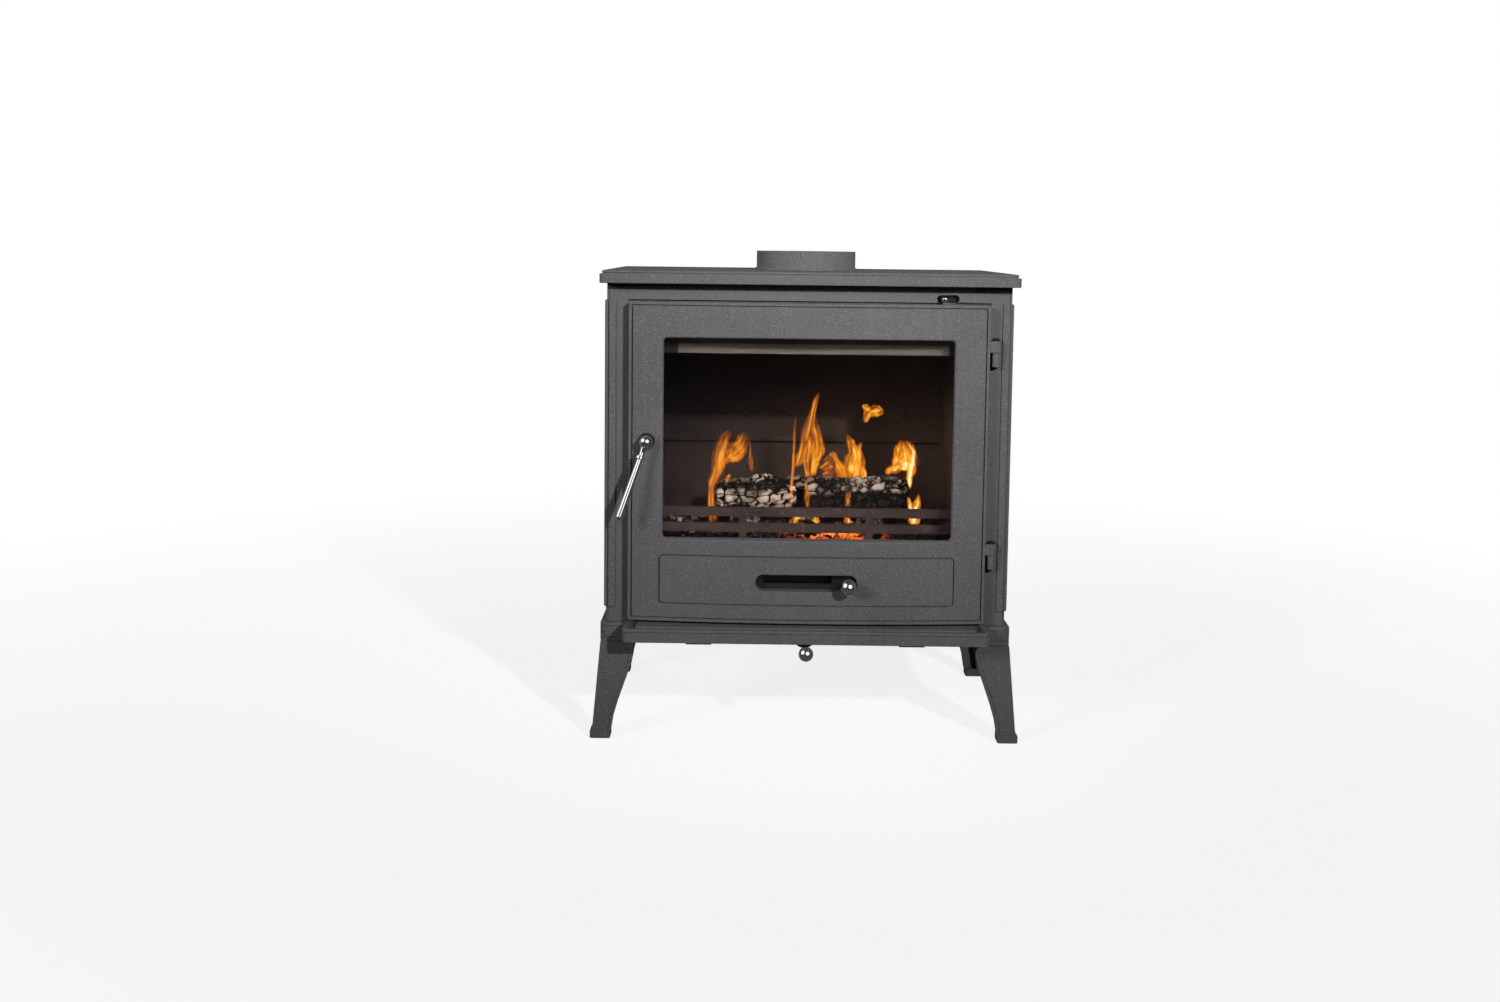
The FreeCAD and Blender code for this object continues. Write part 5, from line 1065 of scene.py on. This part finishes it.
# Studio: a wide pale floor in a pale room, a stronger lamp in front to the right, a larger and weaker one
# to the left, both above the stove, and a soft fill from behind. Mirrors show a dim room with two bright
# panels, and the lamps themselves don't show in them.
floor_radius, floor_sides, floor_near, floor_far = 9.0, 96, 0.5, 2.2
studio_floor, floor_tree, floor_paint = finish_named("studio_floor")


def looked_or_mirrored(ray, mirror_share):
    """How far a ray shows the pale surroundings: in full straight or through glass, less off a mirror."""
    mirrored_once = sums("GREATER_THAN", ray["Glossy Depth"], 0.5)
    through = times(ray["Is Transmission Ray"], sums("SUBTRACT", 1.0, mirrored_once))
    back_through = times(ray["Is Transmission Ray"], mirrored_once)
    off_mirror = sums("MAXIMUM", ray["Is Glossy Ray"], back_through)
    straight = sums("MAXIMUM", ray["Is Camera Ray"], through)
    shown = sums("MAXIMUM", straight, times(off_mirror, mirror_share))
    return times(shown, sums("LESS_THAN", ray["Diffuse Depth"], 0.5))


floor_place = place_in(floor_tree)
floor_reach = add(floor_tree, "ShaderNodeVectorMath", {0: floor_place}, operation="LENGTH").outputs["Value"]
floor_ray = add(floor_tree, "ShaderNodeLightPath").outputs
looked_at = looked_or_mirrored(floor_ray, ranged(parts_of(floor_place)["Y"], -0.2, 0.6, 0.05, 0.25))
pale = blended(cloud(floor_place, 2.0, 3.0), (0.39, 0.39, 0.39, 1), (0.41, 0.41, 0.41, 1))
pale = blended(looked_at, (0.10, 0.10, 0.10, 1), pale)
feed(floor_paint, {
    "Base Color": blended(ranged(floor_reach, floor_near, floor_far), pale, black),
    "Roughness": 1.0,
    "Specular IOR Level": 0.0,
    "Emission Color": (1, 1, 1, 1),
    "Emission Strength": times(looked_at, ranged(floor_reach, floor_near, floor_far, 0.82, 1.0)),
})
floor_disc = bmesh.new()
bmesh.ops.create_circle(floor_disc, cap_ends=True, segments=floor_sides, radius=floor_radius)
made_of(floor_disc, "studio_floor", studio_floor)
lit_middle, lit_reach = Vector((0.03, -0.15, 0.75)), 1.02


def lamp(name, place, size, power):
    """A square lamp behind a grid, whose light fades from the upper part of the door to the floor."""
    light = bpy.data.lights.new(name, "AREA")
    light.shape = "SQUARE"
    light.size = size
    light.energy = power
    away = Vector(place) - lit_middle
    light.spread = 2 * math.atan(lit_reach / away.length)
    stand = placed(name, light)
    stand.location = place
    stand.rotation_euler = away.to_track_quat("Z", "Y").to_euler()
    stand.visible_camera = stand.visible_glossy = False


lamp("right_lamp", (1.40, -3.2, 1.82), 0.14, 4.0)
lamp("left_lamp", (-2.82, -3.2, 2.04), 1.40, 3.2)
room = bpy.data.worlds.new("studio_room")
room.use_nodes = True
room_tree = room.node_tree
room_ray = add(room_tree, "ShaderNodeLightPath").outputs
room_way = add(room_tree, "ShaderNodeTexCoord").outputs["Generated"]
room_side = parts_of(room_way)
room_share = ranged(room_side["Y"], -0.1, 0.5, 0.07, 0.25)
panel_level, panel_fade, faint_light = 1.5, 0.05, 0.02
for panel_angles in ((27, 22, 26), (-62, 30, 25)):
    turn, rise, reach = (math.radians(angle) for angle in panel_angles)
    panel_way = (math.sin(turn) * math.cos(rise), -math.cos(turn) * math.cos(rise), math.sin(rise))
    facing = add(room_tree, "ShaderNodeVectorMath", {0: room_way, 1: panel_way}, operation="DOT_PRODUCT")
    fade = (math.cos(reach + panel_fade), math.cos(reach))
    room_share = sums("MAXIMUM", room_share, ranged(facing.outputs["Value"], *fade, 0.0, panel_level))
back_fill = times(
    ranged(room_side["Y"], 0.0, 0.4, 0.0, 2.0),
    ranged(sums("ABSOLUTE", room_side["Z"]), 0.20, 0.35, 1.0, 0.0),
    room_ray["Is Diffuse Ray"],
)
room_light = sums("MAXIMUM", looked_or_mirrored(room_ray, room_share), sums("ADD", back_fill, faint_light))
feed(room_tree.nodes["Background"], {"Strength": room_light, "Color": (1, 1, 1, 1)})
bpy.context.scene.world = room

# Camera: the photograph's own viewpoint, in front and a little to the left, as high as the flue collar and
# with a slight roll. The focal length and the picture's centre are in pixels of the photograph.
image_width, image_height = 1500, 1002
focal, centre_down, camera_place = 1616.78, 387.42, (-0.07024, -2.4046, 0.7032)
yaw, pitch, roll = (math.radians(angle) for angle in (-0.295, 5.099, 0.681))
look = Vector((math.sin(yaw) * math.cos(pitch), math.cos(yaw) * math.cos(pitch), -math.sin(pitch)))
level = Vector((math.cos(yaw), -math.sin(yaw), 0))
upward = level.cross(look)
across = level * math.cos(roll) + upward * math.sin(roll)
upright = upward * math.cos(roll) - level * math.sin(roll)
lens = bpy.data.cameras.new("photo_camera")
lens.sensor_fit = "HORIZONTAL"
lens.sensor_width = 36.0
lens.lens = focal / image_width * lens.sensor_width
lens.shift_y = (centre_down - image_height / 2) / image_width
camera = placed("photo_camera", lens)
camera_turn = Matrix((across, upright, -look)).transposed().to_4x4()
camera.matrix_world = Matrix.Translation(camera_place) @ camera_turn
bpy.context.scene.camera = camera
bpy.context.scene.view_settings.view_transform = "Standard"
